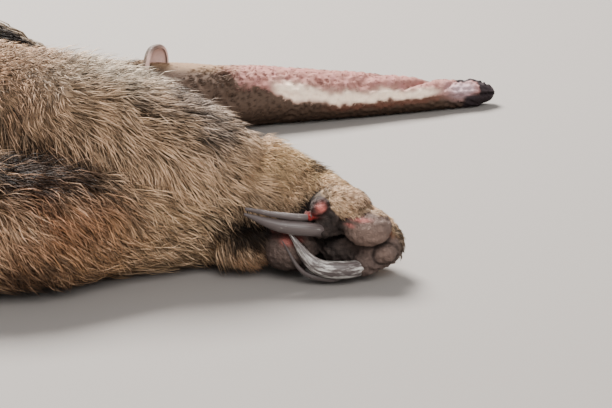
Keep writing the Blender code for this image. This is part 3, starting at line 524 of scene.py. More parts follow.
def head_frame(distance_from_eye, side=1):
    """Centre, nose direction, back direction, direction of that side, half depth and half width."""
    keys = CHAINS["axis"]["keys"]
    mark = np.array([STATIONS["eye"] - distance_from_eye])
    centre, tangent, level, upward, half_level, half_up = (v[0] for v in rings_of(keys, mark))
    back = -level if level[1] < 0.0 else level
    return centre, -tangent, back, upward * side, float(half_level[0]), float(half_up[0])


EYE_RADIUS = 0.0070
EYE_RISE = 0.20
EYE_REACH = 0.985
EYE_SUNK = 0.66
EYES = {}
for eye_name, eye_side in (("right", 1), ("left", -1)):
    middle, nose_way, back_way, side_way, half_back, half_side = head_frame(0.0, eye_side)
    eye_out = unit(side_way * math.cos(EYE_RISE) + back_way * math.sin(EYE_RISE))
    eye_up = unit(back_way - eye_out * float(back_way @ eye_out))
    eye_centre = middle + eye_out * (half_side * EYE_REACH - EYE_RADIUS * EYE_SUNK)
    EYES[eye_name] = (eye_centre, nose_way, eye_up, eye_out)


def flesh_parts():
    """Every overlapping closed form of the skin."""
    parts = [closed_tube(tube_points(CHAINS[name]["keys"], *shape)) for name, shape in FLESH_TUBES.items()]
    for side in SIDES:
        parts.extend(hand_parts(side))
    for centre, nose_way, eye_up, eye_out in EYES.values():
        axes = np.stack((nose_way, eye_up, eye_out))
        parts.append(ellipsoid(centre + eye_out * LID_FORWARD, LID_BULGE, axes))
    return parts


def rows_from(items, field):
    """Three numbers of every item of a mesh's collection, as rows."""
    flat = np.empty(len(items) * 3, dtype=np.float32)
    items.foreach_get(field, flat)
    return flat.reshape(-1, 3).astype(float)


def vertex_places(mesh):
    """The places of a mesh's vertices as rows."""
    return rows_from(mesh.vertices, "co")


def vertex_normals(mesh):
    """The normals of a mesh's vertices as rows."""
    return rows_from(mesh.vertex_normals, "vector")


def set_places(mesh, places):
    """Moves a mesh's vertices to these rows."""
    mesh.vertices.foreach_set("co", np.ascontiguousarray(places, dtype=np.float32).ravel())
    mesh.update()


def with_modifiers_applied(item):
    """Replaces an object's mesh by what its modifiers make of it."""
    graph = bpy.context.evaluated_depsgraph_get()
    baked = bpy.data.meshes.new_from_object(item.evaluated_get(graph))
    old = item.data
    item.modifiers.clear()
    item.data = baked
    bpy.data.meshes.remove(old)
    return item


skin = linked("skin", mesh_of("skin", *joined(flesh_parts())))
fuse = skin.modifiers.new("fuse", "REMESH")
fuse.mode = "VOXEL"
fuse.voxel_size = SKIN_VOXEL
relax = skin.modifiers.new("relax", "SMOOTH")
relax.factor = 0.5
relax.iterations = SKIN_SMOOTHING
with_modifiers_applied(skin)
print("fused skin", len(skin.data.vertices), "vertices")

# %% [markdown]
# Each point of the skin is told where it lies on its chain: how far along, at what angle round it,
# and how far out, where 1 is the chain's own surface. Whole arrays do this: the distance of every
# point to every ring's centre, and the nearest ring wins.

# %% Find places along and round a chain
PAST_END = 0.006


def chain_place(points, chain):
    """Distance along, angle round and reach of points on a chain.

    With a and b the offsets from the nearest ring's centre in its half sizes, the angle is that of
    (a, b), and the reach is the root of a a + b b + c c, where c grows quickly past an end.
    """
    along, angle, reach = (np.empty(len(points)) for _ in range(3))
    centres = chain["centre"]
    for start in range(0, len(points), 20000):
        part = points[start:start + 20000]
        square = (part ** 2).sum(1)[:, None] - 2.0 * part @ centres.T + (centres ** 2).sum(1)[None]
        ring = square.argmin(axis=1)
        offset = part - centres[ring]
        slide = (offset * chain["tangent"][ring]).sum(1)
        a = (offset * chain["level"][ring]).sum(1) / chain["half_level"][ring, 0]
        b = (offset * chain["upward"][ring]).sum(1) / chain["half_up"][ring, 0]
        past = np.abs(slide) * ((ring == 0) | (ring == len(centres) - 1)) / PAST_END
        along[start:start + 20000] = chain["marks"][ring] + slide
        angle[start:start + 20000] = np.arctan2(b, a)
        reach[start:start + 20000] = np.sqrt(a ** 2 + b ** 2 + past ** 2)
    return along, angle, reach


def near_point(points, centre, radius):
    """1 at a place, falling smoothly to 0 as a bell of that radius."""
    offset = (points - np.array(centre)) / np.array(radius)
    return np.exp(-(offset ** 2).sum(axis=1))


def step_up(values, low, high):
    """0 below low, 1 above high and a smooth step between."""
    part = np.clip((values - low) / (high - low), 0.0, 1.0)
    return part * part * (3.0 - 2.0 * part)


def within(points, middle, half):
    """Whether each place lies in the box of that middle and those half sizes."""
    return (np.abs(points - np.array(middle)) < np.array(half)).all(axis=1)


def ripple(points, wavelength, seed, waves=7):
    """A smooth made-up pattern from -1 to 1: the mean of sines along random directions."""
    rng = np.random.default_rng(seed)
    ways = unit(rng.normal(size=(waves, 3))) * (math.tau / wavelength) * rng.uniform(0.6, 1.5, (waves, 1))
    phases = rng.uniform(0.0, math.tau, waves)
    return np.sin(points @ ways.T + phases).sum(axis=1) / math.sqrt(waves)


# Thinning: from head to trunk it grows between these values of -x. Hands: side, half height, share
THIN_START = (-0.46, -0.40)
THIN_HALF = 0.35
THIN_HANDS = (("left", 0.07, 0.0), ("right", 0.08, THIN_HALF))


def thin_out(item, target):
    """Collapses the mesh towards a count of triangles, most where hair will cover it."""
    places = vertex_places(item.data)
    share = step_up(-places[:, 0], *THIN_START)
    for side, half_height, most in THIN_HANDS:
        close = within(hand_local(places, side), (0.07, 0.0, 0.0), (0.10, 0.08, half_height))
        share = np.where(close, most, share)
    group = item.vertex_groups.new(name="thin")
    for level in (THIN_HALF, 1.0):
        members = np.nonzero(np.abs(share - level) < THIN_HALF - 0.01)[0]
        group.add([int(v) for v in members], level, "REPLACE")
    thin = item.modifiers.new("thin", "DECIMATE")
    thin.ratio = target / (2.0 * len(item.data.polygons))
    thin.vertex_group = "thin"
    thin.vertex_group_factor = 1.0
    with_modifiers_applied(item)
    item.vertex_groups.clear()


thin_out(skin, SKIN_TRIANGLES)
print("thinned skin", len(skin.data.vertices), "vertices", len(skin.data.polygons), "faces")

# %% [markdown]
# ## Lids, nostrils and the line of the mouth
# The faces near the eyes and on the muzzle are divided once or twice more, and then moved by
# formulas: skin near an eyeball is pushed out to lie on it as lids, except inside an almond-shaped
# slit, where it sinks behind the ball. A groove with raised edges makes the lips.

# %% Divide the skin where fine forms come


def divide_near(mesh, centre, radius):
    """Divides every edge that has both ends within a radius of a place."""
    shell = bmesh.new()
    shell.from_mesh(mesh)
    places = vertex_places(mesh)
    close = np.linalg.norm(places - centre, axis=1) < radius
    shell.edges.ensure_lookup_table()
    edges = [e for e in shell.edges if close[e.verts[0].index] and close[e.verts[1].index]]
    bmesh.ops.subdivide_edges(shell, edges=edges, cuts=1, use_grid_fill=True)
    bmesh.ops.triangulate(shell, faces=[f for f in shell.faces if len(f.verts) > 4])
    shell.to_mesh(mesh)
    shell.free()


# Places where the skin is divided, and the radius of each round
FINE_PLACES = [(centre + eye_out * EYE_RADIUS, (0.017, 0.012)) for centre, _, _, eye_out in EYES.values()]
FINE_PLACES.append((CHAINS["axis"]["centre"][0], (0.052, 0.020)))
FINE_PLACES.append((hand_places([(0.090, -0.060, -0.012)], "left")[0], (0.058,)))
for fine_place, fine_radii in FINE_PLACES:
    for fine_radius in fine_radii:
        divide_near(skin.data, fine_place, fine_radius)
print("divided skin", len(skin.data.vertices), "vertices")

# %% Shape lids, nostrils, lips and skin folds
LID_THICKNESS = 0.0011
LID_REACH = 0.020
LID_RIM = 0.0006
LID_FOLD = 0.0007
LID_FOLD_RADII = (0.0062, 0.0088)
SLIT_HALF_LENGTH = 0.0075
SLIT_HALF_HEIGHT = 0.0024
SLIT_SLOPE = 0.12
SLIT_DEPTH = 0.6
MOUTH_LENGTH = 0.046
MOUTH_LOW = 0.60
MOUTH_DEPTH = 0.0024
LIP_RISE = 0.0009
LIP_AWAY = 0.20
JAW_DEPTH = 0.0016
CHEEK_RISE = 0.0022
WRINKLE_RISE = 0.00022
NOSTRIL_RADII = (0.0046, 0.0017, 0.0030)
NOSTRIL_DEPTH = 0.0050


def shape_lids(points, eye):
    """Lays the skin on the eyeball and opens an almond slit.

    With x along the face and y up the ball, the slit's edge is y = h (1 - (x / l)^2), and the skin
    inside it sinks to a share of the ball's radius. Two rings of shallow folds lie round the lids.
    """
    centre, nose_way, eye_up, eye_out = eye
    offset = points - centre
    distance = np.linalg.norm(offset, axis=1)
    x = offset @ nose_way
    y = offset @ eye_up
    out = offset @ eye_out
    close = (distance < LID_REACH) & (out > -0.001)
    lifted = np.where(close, np.maximum(distance, EYE_RADIUS + LID_THICKNESS), distance)
    tilt = y - 0.0006 - x * SLIT_SLOPE
    edge = SLIT_HALF_HEIGHT * np.clip(1.0 - (x / SLIT_HALF_LENGTH) ** 2, 0.0, 1.0)
    inside = step_up(edge - np.abs(tilt), -0.0001, 0.0009) * close
    rim = np.exp(-((np.abs(tilt) - edge - 0.0009) / 0.0008) ** 2) * (np.abs(x) < SLIT_HALF_LENGTH * 1.2)
    radial = np.hypot(x / 1.35, tilt)
    folds = sum(np.exp(-((radial - r) / 0.0007) ** 2) for r in LID_FOLD_RADII)
    lifted = lifted + (rim * LID_RIM - folds * LID_FOLD) * close
    lifted = lifted * (1.0 - inside) + EYE_RADIUS * SLIT_DEPTH * inside
    return centre + offset * (lifted / np.maximum(distance, 1e-9))[:, None]


def shape_muzzle(points, normals):
    """Cuts the mouth line and the nostrils, and creases the muzzle's skin.

    The mouth is a groove where the offset from the middle towards the back is a set share of the
    half depth; its depth is a bell across it, with two lower bells beside it for the lips.
    """
    axis = CHAINS["axis"]
    along, angle, reach = chain_place(points, axis)
    on_head = (along < STATIONS["occiput"]) & (reach < 1.6)
    back = -np.cos(angle) * reach
    mouth = np.exp(-((back + MOUTH_LOW) / 0.075) ** 2)
    lips = sum(np.exp(-((back + MOUTH_LOW + away) / 0.11) ** 2) for away in (LIP_AWAY, -LIP_AWAY))
    reach_back = 1.0 - step_up(along, MOUTH_LENGTH - 0.008, MOUTH_LENGTH)
    change = (lips * LIP_RISE - mouth * MOUTH_DEPTH) * reach_back
    jaw = np.exp(-((back + 0.55) / 0.16) ** 2)
    jaw_span = step_up(along, MOUTH_LENGTH, 0.12) * (1.0 - step_up(along, 0.26, 0.31))
    change = change - jaw * jaw_span * JAW_DEPTH
    cheek = near_point(points, CHEEK_PLACE, (0.040, 0.030, 0.030))
    change = change + cheek * CHEEK_RISE
    wrinkle = np.sin(along * 620.0 + 2.5 * np.sin(angle * 2.0)) * np.sin(angle * 5.0 + along * 90.0)
    change = change + wrinkle * WRINKLE_RISE * (1.0 - step_up(along, 0.16, 0.24))
    moved = points + normals * (change * on_head)[:, None]
    for place, axes in NOSTRILS:
        local = (moved - place) @ axes.T / np.array(NOSTRIL_RADII)
        hole = step_up(1.25 - np.linalg.norm(local, axis=1), 0.0, 0.7)
        moved = moved - axes[0] * (hole * NOSTRIL_DEPTH)[:, None]
    return moved


# Domes of the palm: place along the hand and towards the thumb, half sizes, rise, depth of the crease
PALM_DOMES = (
    (0.1213, -0.0108, 0.0215, 0.0158, 0.0022, 0.0026),
    (0.1365, -0.0340, 0.0098, 0.0082, 0.0012, 0.0020),
    (0.0807, 0.0088, 0.0078, 0.0076, 0.0010, 0.0022),
    (0.0500, -0.0340, 0.0190, 0.0160, 0.0010, 0.0018),
)


def dome_reach(local, dome):
    """The distance from a dome's middle in its half sizes, seen from in front of the palm."""
    return np.hypot((local[:, 0] - dome[0]) / dome[2], (local[:, 2] - dome[1]) / dome[3])


def shape_palm(points, normals, side):
    """Raises the palm's pads as domes with a crease round each, and folds the skin between them.

    A dome adds rise (1 - r^2) inside r = 1 and takes off a bell of the crease's depth at r = 1.08.
    """
    local = hand_local(points, side)
    front = (np.abs(local[:, 0] - 0.085) < 0.08) & (np.abs(local[:, 2]) < 0.07)
    front = front * step_up(-local[:, 1], 0.022, 0.034)
    change = np.zeros(len(points))
    clear = np.ones(len(points))
    for dome in PALM_DOMES:
        reach = dome_reach(local, dome)
        rise = dome[4] * np.clip(1.0 - reach ** 2, 0.0, 1.0)
        change += rise - dome[5] * np.exp(-((reach - 1.08) / 0.13) ** 2)
        clear *= step_up(reach, 0.95, 1.15)
    folds = np.sin(local[:, 0] * 900.0 + local[:, 2] * 700.0 + 3.0 * ripple(local, 0.018, 51))
    change += 0.0006 * folds * clear + 0.0005 * ripple(local, 0.006, 52)
    return points + normals * (change * front)[:, None]


def head_place(distance, back, side):
    """A place on the head: so far ahead of the eye, towards back and side in half sizes."""
    centre, _, back_way, side_way, half_back, half_side = head_frame(distance)
    return centre + back_way * half_back * back + side_way * half_side * side


CHEEK_PLACE = head_place(0.01, -0.55, 0.75)
NOSTRILS = []
for nostril_side in (-1.0, 1.0):
    tip, nose_way, back_way, side_way, _, _ = head_frame(0.2755)
    forward = unit(nose_way + side_way * nostril_side * 0.35)
    upright = unit(back_way - forward * float(back_way @ forward))
    NOSTRILS.append((tip + side_way * nostril_side * 0.0050 + back_way * 0.0018 + nose_way * 0.0005,
                     np.stack((forward, np.cross(forward, upright), upright))))

skin_places = shape_muzzle(vertex_places(skin.data), vertex_normals(skin.data))
for eye in EYES.values():
    skin_places = shape_lids(skin_places, eye)
for side in SIDES:
    skin_places = shape_palm(skin_places, vertex_normals(skin.data), side)
skin_places[:, 2] = np.maximum(skin_places[:, 2], SKIN_FLOOR)
set_places(skin.data, skin_places)
print("skin lowest point", round(float(skin_places[:, 2].min()), 5))

# %% [markdown]
# ## Markings
# Skin and hair share one set of markings, so a gap in the coat never shows a wrong colour. They are
# formulas of the place on the body: how far along a chain, at what angle round it, and for the near
# foreleg a set of soft spots. Colours are given as they look on a screen and made linear here.

# %% Name the colours of coat and skin


def screen(red, green, blue):
    """A colour of 0 to 255 as it looks on a screen, in linear light."""
    values = np.array((red, green, blue)) / 255.0
    return np.where(values <= 0.04045, values / 12.92, ((values + 0.055) / 1.055) ** 2.4)


BUFF = screen(246, 206, 164)
GOLDEN = screen(236, 198, 142)
CREAM_RIM_LIGHT = screen(255, 233, 206)
ORANGE_BROWN = screen(176, 114, 66)
GREY_BUFF = screen(160, 122, 92)
PURPLE_TAN = screen(158, 128, 110)
DARK_PATCH = screen(138, 122, 110)
DARK_BROWN = screen(56, 42, 33)
BLACK = screen(27, 20, 16)
WHITE = screen(218, 208, 192)
LEG_BUFF = screen(196, 162, 126)
GREY_TAN = screen(158, 138, 118)
GRIZZLED = screen(108, 94, 80)
GRIZZLED_PALE = screen(130, 113, 94)
TAIL_BROWN = screen(84, 64, 47)
HIND_DARK = screen(50, 42, 36)
SNOUT_DARK = screen(80, 64, 54)
SNOUT_PINK = screen(154, 108, 101)
SNOUT_CREAM = screen(255, 232, 210)
FOREHEAD_TAN = screen(138, 112, 88)
SNOUT_ROSE = screen(168, 118, 116)
SNOUT_RUST = screen(104, 66, 54)
SNOUT_LILAC = screen(168, 146, 152)
NOSE_BLACK = screen(40, 32, 35)
PAD_GREY = screen(98, 83, 77)
PAD_PALE = screen(120, 100, 91)
PAD_DARK = screen(44, 38, 36)
RAW_RED = screen(128, 34, 31)
PALE_PINK = screen(205, 118, 110)
ORANGE_SPOT = screen(196, 112, 62)


def mixed(one, two, share):
    """Rows of one colour moved towards another by a share for each row."""
    return one + (two - one) * np.asarray(share)[:, None]


# %% [markdown]
# The near foreleg faces the viewer, so its spots are placed by x and by the height across the view:
# z and y seen at the camera's tilt. The same two numbers serve the comb strokes of its coat.

# %% Paint the near foreleg and the hands


def across_view(points):
    """x, and the height at right angles to the line of sight: z cos tilt + y sin tilt."""
    height = points[:, 2] * math.cos(VIEW_TILT) + points[:, 1] * math.sin(VIEW_TILT)
    return np.column_stack((points[:, 0], height))


# Spots of the near foreleg: x, height across the view, half width, half height, colour, strength
FORELEG_SPOTS = (
    (0.385, 0.054, 0.052, 0.034, GREY_BUFF, 0.85),
    # The cream spot on the top edge is partly pale hair and partly painted rim light.
    (0.462, 0.062, 0.048, 0.020, CREAM_RIM_LIGHT, 1.00),
    (0.440, 0.030, 0.040, 0.014, BUFF, 0.50),
    (0.505, 0.036, 0.026, 0.013, DARK_PATCH, 0.95),
    (0.540, 0.020, 0.034, 0.020, DARK_PATCH, 0.90),
    (0.600, 0.000, 0.022, 0.014, GREY_BUFF, 0.45),
    (0.618, -0.014, 0.040, 0.018, GOLDEN, 0.80),
    (0.670, -0.044, 0.020, 0.009, PURPLE_TAN, 0.55),
    (0.628, -0.018, 0.030, 0.004, DARK_BROWN, 0.90),
    (0.633, -0.040, 0.012, 0.008, DARK_BROWN, 0.75),
    (0.385, -0.022, 0.046, 0.026, ORANGE_BROWN, 0.85),
    (0.430, -0.052, 0.040, 0.022, ORANGE_BROWN, 0.70),
    (0.374, -0.018, 0.052, 0.027, BLACK, 1.00),
    (0.425, -0.030, 0.038, 0.014, DARK_BROWN, 0.90),
    (0.500, -0.050, 0.040, 0.020, GOLDEN, 0.35),
    (0.556, -0.060, 0.030, 0.017, BLACK, 0.95),
    (0.567, -0.074, 0.022, 0.013, BLACK, 0.90),
    (0.562, -0.098, 0.022, 0.014, ORANGE_BROWN, 0.55),
    (0.400, -0.092, 0.062, 0.030, ORANGE_BROWN, 0.80),
    (0.450, -0.095, 0.070, 0.024, GOLDEN, 0.30),
    (0.380, -0.108, 0.038, 0.030, DARK_BROWN, 0.75),
    # The last row darkens the bottom of the leg: painted shade towards the floor.
    (0.470, -0.124, 0.080, 0.014, DARK_BROWN, 0.45),
)
# Spots of a hand's palm: place in its own axes, half sizes, colour, strength
PALM_SPOTS = (
    # The first two dark spots are painted shade in the hollow of the palm, under the claws.
    ((0.090, -0.034, -0.014), (0.015, 0.030, 0.022), PAD_DARK, 1.00),
    ((0.100, -0.034, -0.038), (0.016, 0.030, 0.012), PAD_DARK, 0.80),
    ((0.030, -0.040, -0.004), (0.026, 0.030, 0.015), PAD_DARK, 0.95),
    ((0.058, -0.050, -0.048), (0.024, 0.024, 0.010), PAD_DARK, 0.45),
    ((0.122, -0.054, -0.016), (0.017, 0.016, 0.0115), PAD_PALE, 0.95),
    ((0.137, -0.050, -0.035), (0.007, 0.014, 0.006), PAD_PALE, 0.60),
    ((0.1060, -0.050, -0.0070), (0.0036, 0.014, 0.0012), PALE_PINK, 0.45),
    ((0.1150, -0.050, -0.0022), (0.0070, 0.014, 0.0013), PALE_PINK, 0.50),
    ((0.1430, -0.046, -0.0185), (0.0026, 0.014, 0.0026), ORANGE_SPOT, 0.85),
    ((0.0815, -0.0450, 0.0068), (0.0120, 0.020, 0.0110), PAD_DARK, 1.00),
    ((0.0825, -0.0510, 0.0080), (0.0036, 0.010, 0.0034), PALE_PINK, 0.95),
    ((0.0730, -0.0500, 0.0006), (0.0060, 0.010, 0.0030), RAW_RED, 0.90),
    ((0.0400, -0.0520, -0.0170), (0.0060, 0.014, 0.0022), RAW_RED, 0.70),
    ((0.0540, -0.0520, -0.0165), (0.0050, 0.014, 0.0026), RAW_RED, 0.75),
    ((0.0620, -0.0520, -0.0210), (0.0050, 0.014, 0.0030), RAW_RED, 0.75),
    ((0.0530, -0.0520, -0.0210), (0.0040, 0.014, 0.0026), PALE_PINK, 0.45),
)


def spotted(colours, places, spots, gain, rough):
    """Lays soft spots over colours: a bell times strength, gain and roughness, capped at the strength."""
    for centre, radius, colour, strength in spots:
        share = near_point(places, centre, radius) * strength * gain * rough
        colours = mixed(colours, colour, np.clip(share, 0.0, strength))
    return colours


def foreleg_colour(points):
    """Buff with the spots of the near foreleg."""
    spots = [(row[:2], row[2:4], row[4], row[5]) for row in FORELEG_SPOTS]
    rough = 1.0 + 0.30 * ripple(points, 0.030, 8) + 0.25 * ripple(points, 0.010, 9)
    return spotted(np.tile(BUFF, (len(points), 1)), across_view(points), spots, 1.4, rough)


def palm_colour(local):
    """Pad grey with the palm's spots, and painted shade in the creases round the domes and deep in the hand.
    """
    rough = 1.0 + 0.16 * ripple(local, 0.011, 5) + 0.10 * ripple(local, 0.004, 6)
    colours = spotted(np.tile(PAD_GREY, (len(local), 1)), local, PALM_SPOTS, 1.5, rough)
    crease = sum(np.exp(-((dome_reach(local, dome) - 1.08) / 0.12) ** 2) for dome in PALM_DOMES)
    deep = step_up(local[:, 1], -0.040, -0.026)
    # Painted shade: darkest in the creases round the domes and deep inside the hollow of the hand.
    return mixed(colours, PAD_DARK * 0.5, np.clip(crease * 0.75 + deep * 0.8, 0.0, 0.9))


# The box in a hand's own axes that the hand's colours fill: middle and half sizes
PAINTED_HAND = ((0.085, 0.0, 0.0), (0.095, 0.09, 0.08))
# The upper edge of bare skin on the palm: places along the hand, and the height of the edge there
PALM_EDGE = ((0.022, 0.034, 0.060, 0.072, 0.082, 0.092, 0.100, 0.110, 0.122, 0.140, 0.150),
             (-0.020, -0.004, 0.006, 0.010, 0.0150, 0.006, -0.001, 0.000, 0.0030, -0.003, -0.014))


def palm_share(local):
    """1 on the bare palm and pads of a hand, 0 on its furred back: below the edge, and in front."""
    edge = np.interp(local[:, 0], *PALM_EDGE)
    below = step_up(edge - local[:, 2], -0.0015, 0.0015)
    shift = 0.034 * step_up(local[:, 0], 0.105, 0.145)
    front = step_up(-local[:, 1] - shift, -0.004, 0.006)
    knob = step_up(near_point(local, PADS["thumb"][0], (0.0100, 0.0110, 0.0100)), 0.34, 0.42)
    return np.maximum(below * front * step_up(local[:, 0], 0.026, 0.036), knob)


def hand_fringe(local):
    """The dark hair where fur meets bare skin at the finger end, and the dark hair at the wrist."""
    edge = np.interp(local[:, 0], *PALM_EDGE)
    rim = np.exp(-((local[:, 2] - edge - 0.004) / 0.004) ** 2) * step_up(local[:, 0], 0.104, 0.116)
    finger_end = step_up(local[:, 0], 0.136, 0.146) * step_up(-local[:, 1], -0.020, 0.020)
    wrist = near_point(local[:, [0, 2]], (0.022, -0.008), (0.020, 0.015))
    wrist = wrist * step_up(-local[:, 1], 0.0, 0.02)
    return np.clip(np.maximum.reduce((rim * 0.8, finger_end * 0.9, wrist * 1.1)), 0.0, 0.92)


# %% Paint head, trunk, tail and the other legs


# The black stripe of throat and shoulder: the angle of its middle from the belly, and its half width
STRIPE_MIDDLE = (("neck", 0.35), ("neck_base", 0.75), ("chest", 1.65), ("belly", 2.55))
STRIPE_HALF = (("occiput", 0.2), ("neck", 1.5), ("neck_base", 1.35), ("shoulder", 0.85), ("chest", 0.50),
               ("belly", 0.02))
STRIPE_EDGE = 0.13


def axis_colour(points, along, angle):
    """Colours of head, neck, trunk and tail by distance from the nose and angle from belly to back."""
    back = -np.cos(angle)
    colours = np.tile(GRIZZLED, (len(points), 1))
    colours = mixed(colours, GRIZZLED_PALE, 0.7 * step_up(back, 0.2, 0.9))
    colours = mixed(colours, HIND_DARK, 0.75 * step_up(-back, 0.1, 0.8))
    colours = mixed(colours, TAIL_BROWN, step_up(along, STATIONS["pelvis"], STATIONS["tail_front"]))
    under_tail = 0.5 * step_up(-back, 0.0, 0.7) * step_up(along, STATIONS["tail_root"], 1.9)
    colours = mixed(colours, HIND_DARK, under_tail)
    half = by_station(along, STRIPE_HALF)
    away = np.abs(np.abs(angle) - by_station(along, STRIPE_MIDDLE)) + 0.05 * ripple(points, 0.05, 11)
    reach = step_up(along, STATIONS["occiput"], STATIONS["neck"] - 0.01)
    reach = reach * (1.0 - step_up(along, STATIONS["middle"], STATIONS["belly"]))
    edge = np.exp(-((away - half - STRIPE_EDGE) / 0.10) ** 2) * reach
    edge = edge * step_up(along, STATIONS["throat"], STATIONS["neck_base"])
    colours = mixed(colours, WHITE, np.clip(edge * 1.2, 0.0, 0.95))
    colours = mixed(colours, BLACK, (1.0 - step_up(away, half - 0.03, half + 0.05)) * reach)
    on_head = 1.0 - step_up(along, STATIONS["ear"], STATIONS["neck"])
    return mixed(colours, head_colour(points, along, angle), on_head)


# The edge between dark fur and worn skin on the face: distances from the nose, and the angle there
WORN_EDGE = ((0.000, 0.045, 0.066, 0.097, 0.129, 0.161, 0.201,
              0.226, 0.236, 0.262, 0.272, 0.300, 0.335, 0.360),
             (0.95, 0.90, 0.88, 0.76, 0.64, 0.56, 0.83,
              1.02, 1.26, 1.38, 1.80, 1.92, 2.02, 2.60))


def head_colour(points, along, angle):
    """Dark short fur at the back and below, worn mauve skin above it, and a cream band on the edge.

    The angle runs from the throat at 0 over the upper cheek to the crown at half a turn. On the
    cheek that lies on the floor it is negative, and the fur is whole.
    """
    wave = 0.08 * ripple(points, 0.030, 21) + 0.05 * ripple(points, 0.010, 22)
    above = angle + wave - np.interp(along, *WORN_EDGE)
    up_side = step_up(angle, 0.15, 0.45)
    colours = np.tile(SNOUT_DARK, (len(points), 1))
    colours = mixed(colours, DARK_BROWN, 0.85 * (1.0 - step_up(np.abs(angle), 0.2, 0.95)))
    tan = 0.85 * step_up(np.abs(angle), 1.75, 2.2) * step_up(along, 0.10, 0.26)
    colours = mixed(colours, FOREHEAD_TAN, tan)
    crown = 1.0 - 0.7 * step_up(angle, 2.4, 2.9)
    worn = step_up(above, -0.05, 0.08) * up_side * crown * (1.0 - step_up(along, 0.235, 0.290))
    patch = 0.5 + 0.5 * ripple(points, 0.022, 23)
    colours = mixed(colours, SNOUT_PINK, worn * (0.80 + 0.20 * patch))
    colours = mixed(colours, SNOUT_ROSE, worn * 0.55 * step_up(ripple(points, 0.016, 24), 0.3, 1.1))
    band = np.exp(-((above - 0.30) / 0.27) ** 2) * worn
    band = band * (1.0 - step_up(along, 0.215, 0.235)) * step_up(along, 0.045, 0.075)
    colours = mixed(colours, SNOUT_CREAM, np.clip(band * 1.25, 0.0, 0.95))
    rust = np.exp(-((above + 0.16) / 0.16) ** 2) * (1.0 - step_up(along, 0.15, 0.19)) * up_side
    colours = mixed(colours, SNOUT_RUST, rust * 0.7)
    pale = near_point(np.column_stack((along, angle)), (0.030, 1.40), (0.014, 0.62))
    colours = mixed(colours, SNOUT_LILAC, np.clip(pale * 1.3, 0.0, 0.9))
    tip = 1.0 - step_up(along + 0.004 * wave, 0.010, 0.014)
    ridge = (1.0 - step_up(along, 0.030, 0.036)) * step_up(angle, 1.95, 2.15)
    low = (1.0 - step_up(along, 0.026, 0.032)) * (1.0 - step_up(angle, 0.78, 0.95))
    return mixed(colours, NOSE_BLACK, np.maximum.reduce((tip, ridge, low)))


def leg_colour(points, along, total, dark):
    """Hind legs are blackish with paler feet; the far foreleg is buff with a dark band above the hand."""
    if dark:
        colours = np.tile(HIND_DARK, (len(points), 1))
        return mixed(colours, GRIZZLED, 0.35 * step_up(along, total * 0.75, total))
    colours = np.tile(LEG_BUFF, (len(points), 1))
    band = np.exp(-((along - total * 0.84) / 0.030) ** 2)
    patch = near_point(points, (0.10, -0.24, 0.15), (0.05, 0.05, 0.05))
    return mixed(colours, DARK_BROWN, np.clip(band + patch * 0.4, 0.0, 0.85))


def markings(points):
    """The coat's colour at any places on the body, and which chain each belongs to."""
    names = list(CHAINS)
    found = [chain_place(points, CHAINS[name]) for name in names]
    owner = np.stack([f[2] for f in found]).argmin(axis=0)
    colours = axis_colour(points, found[0][0], found[0][1])
    near_leg = foreleg_colour(points)
    shoulder = step_up(found[1][0], 0.09, 0.17)
    for number, name in enumerate(names):
        along = found[number][0]
        mine = owner == number
        if name in ("foreleg_left", "fringe_left"):
            colours = np.where(mine[:, None], mixed(colours, near_leg, shoulder), colours)
        elif name != "axis":
            total = CHAINS[name]["marks"][-1]
            leg = leg_colour(points, along, total, name.startswith("hind"))
            blend = step_up(along, total * 0.12, total * 0.32)
            colours = np.where(mine[:, None], mixed(colours, leg, blend), colours)
    for side in SIDES:
        local = hand_local(points, side)
        close = within(local, *PAINTED_HAND)
        tan = mixed(colours, GREY_TAN, step_up(local[:, 0], -0.005, 0.06))
        base = near_leg if side == "left" else tan
        base = mixed(base, BLACK, hand_fringe(local))
        hand = mixed(base, palm_colour(local), palm_share(local))
        colours = np.where(close[:, None], hand, colours)
    return colours, owner


test_colours = markings(skin_places[::50])[0]
print("markings", test_colours.min().round(3), test_colours.max().round(3))

# %% [markdown]
# ## Shader groups
# Two effects come back in several materials: a drifting tone, as no skin or horn is of one even
# colour, and fine relief. Each is a node group with named inputs, placed with other values each time.

# %% Build the shared shader groups


def add_node(tree, kind, values=None, **settings):
    """A new shader node with these settings, and these values set on its inputs."""
    made = tree.nodes.new(kind)
    for key, value in settings.items():
        setattr(made, key, value)
    for key, value in (values or {}).items():
        made.inputs[key].default_value = value
    return made


def wired(tree, *pairs):
    """Links each pair of an output and an input."""
    for output, target in pairs:
        tree.links.new(output, target)


def new_group(name, inputs, output):
    """A node group with these named sockets and kinds; gives its tree and its two end nodes."""
    tree = bpy.data.node_groups.new(name, "ShaderNodeTree")
    for socket, kind in inputs:
        tree.interface.new_socket(socket, in_out="INPUT", socket_type="NodeSocket" + kind)
    tree.interface.new_socket(output[0], in_out="OUTPUT", socket_type="NodeSocket" + output[1])
    return tree, add_node(tree, "NodeGroupInput"), add_node(tree, "NodeGroupOutput")


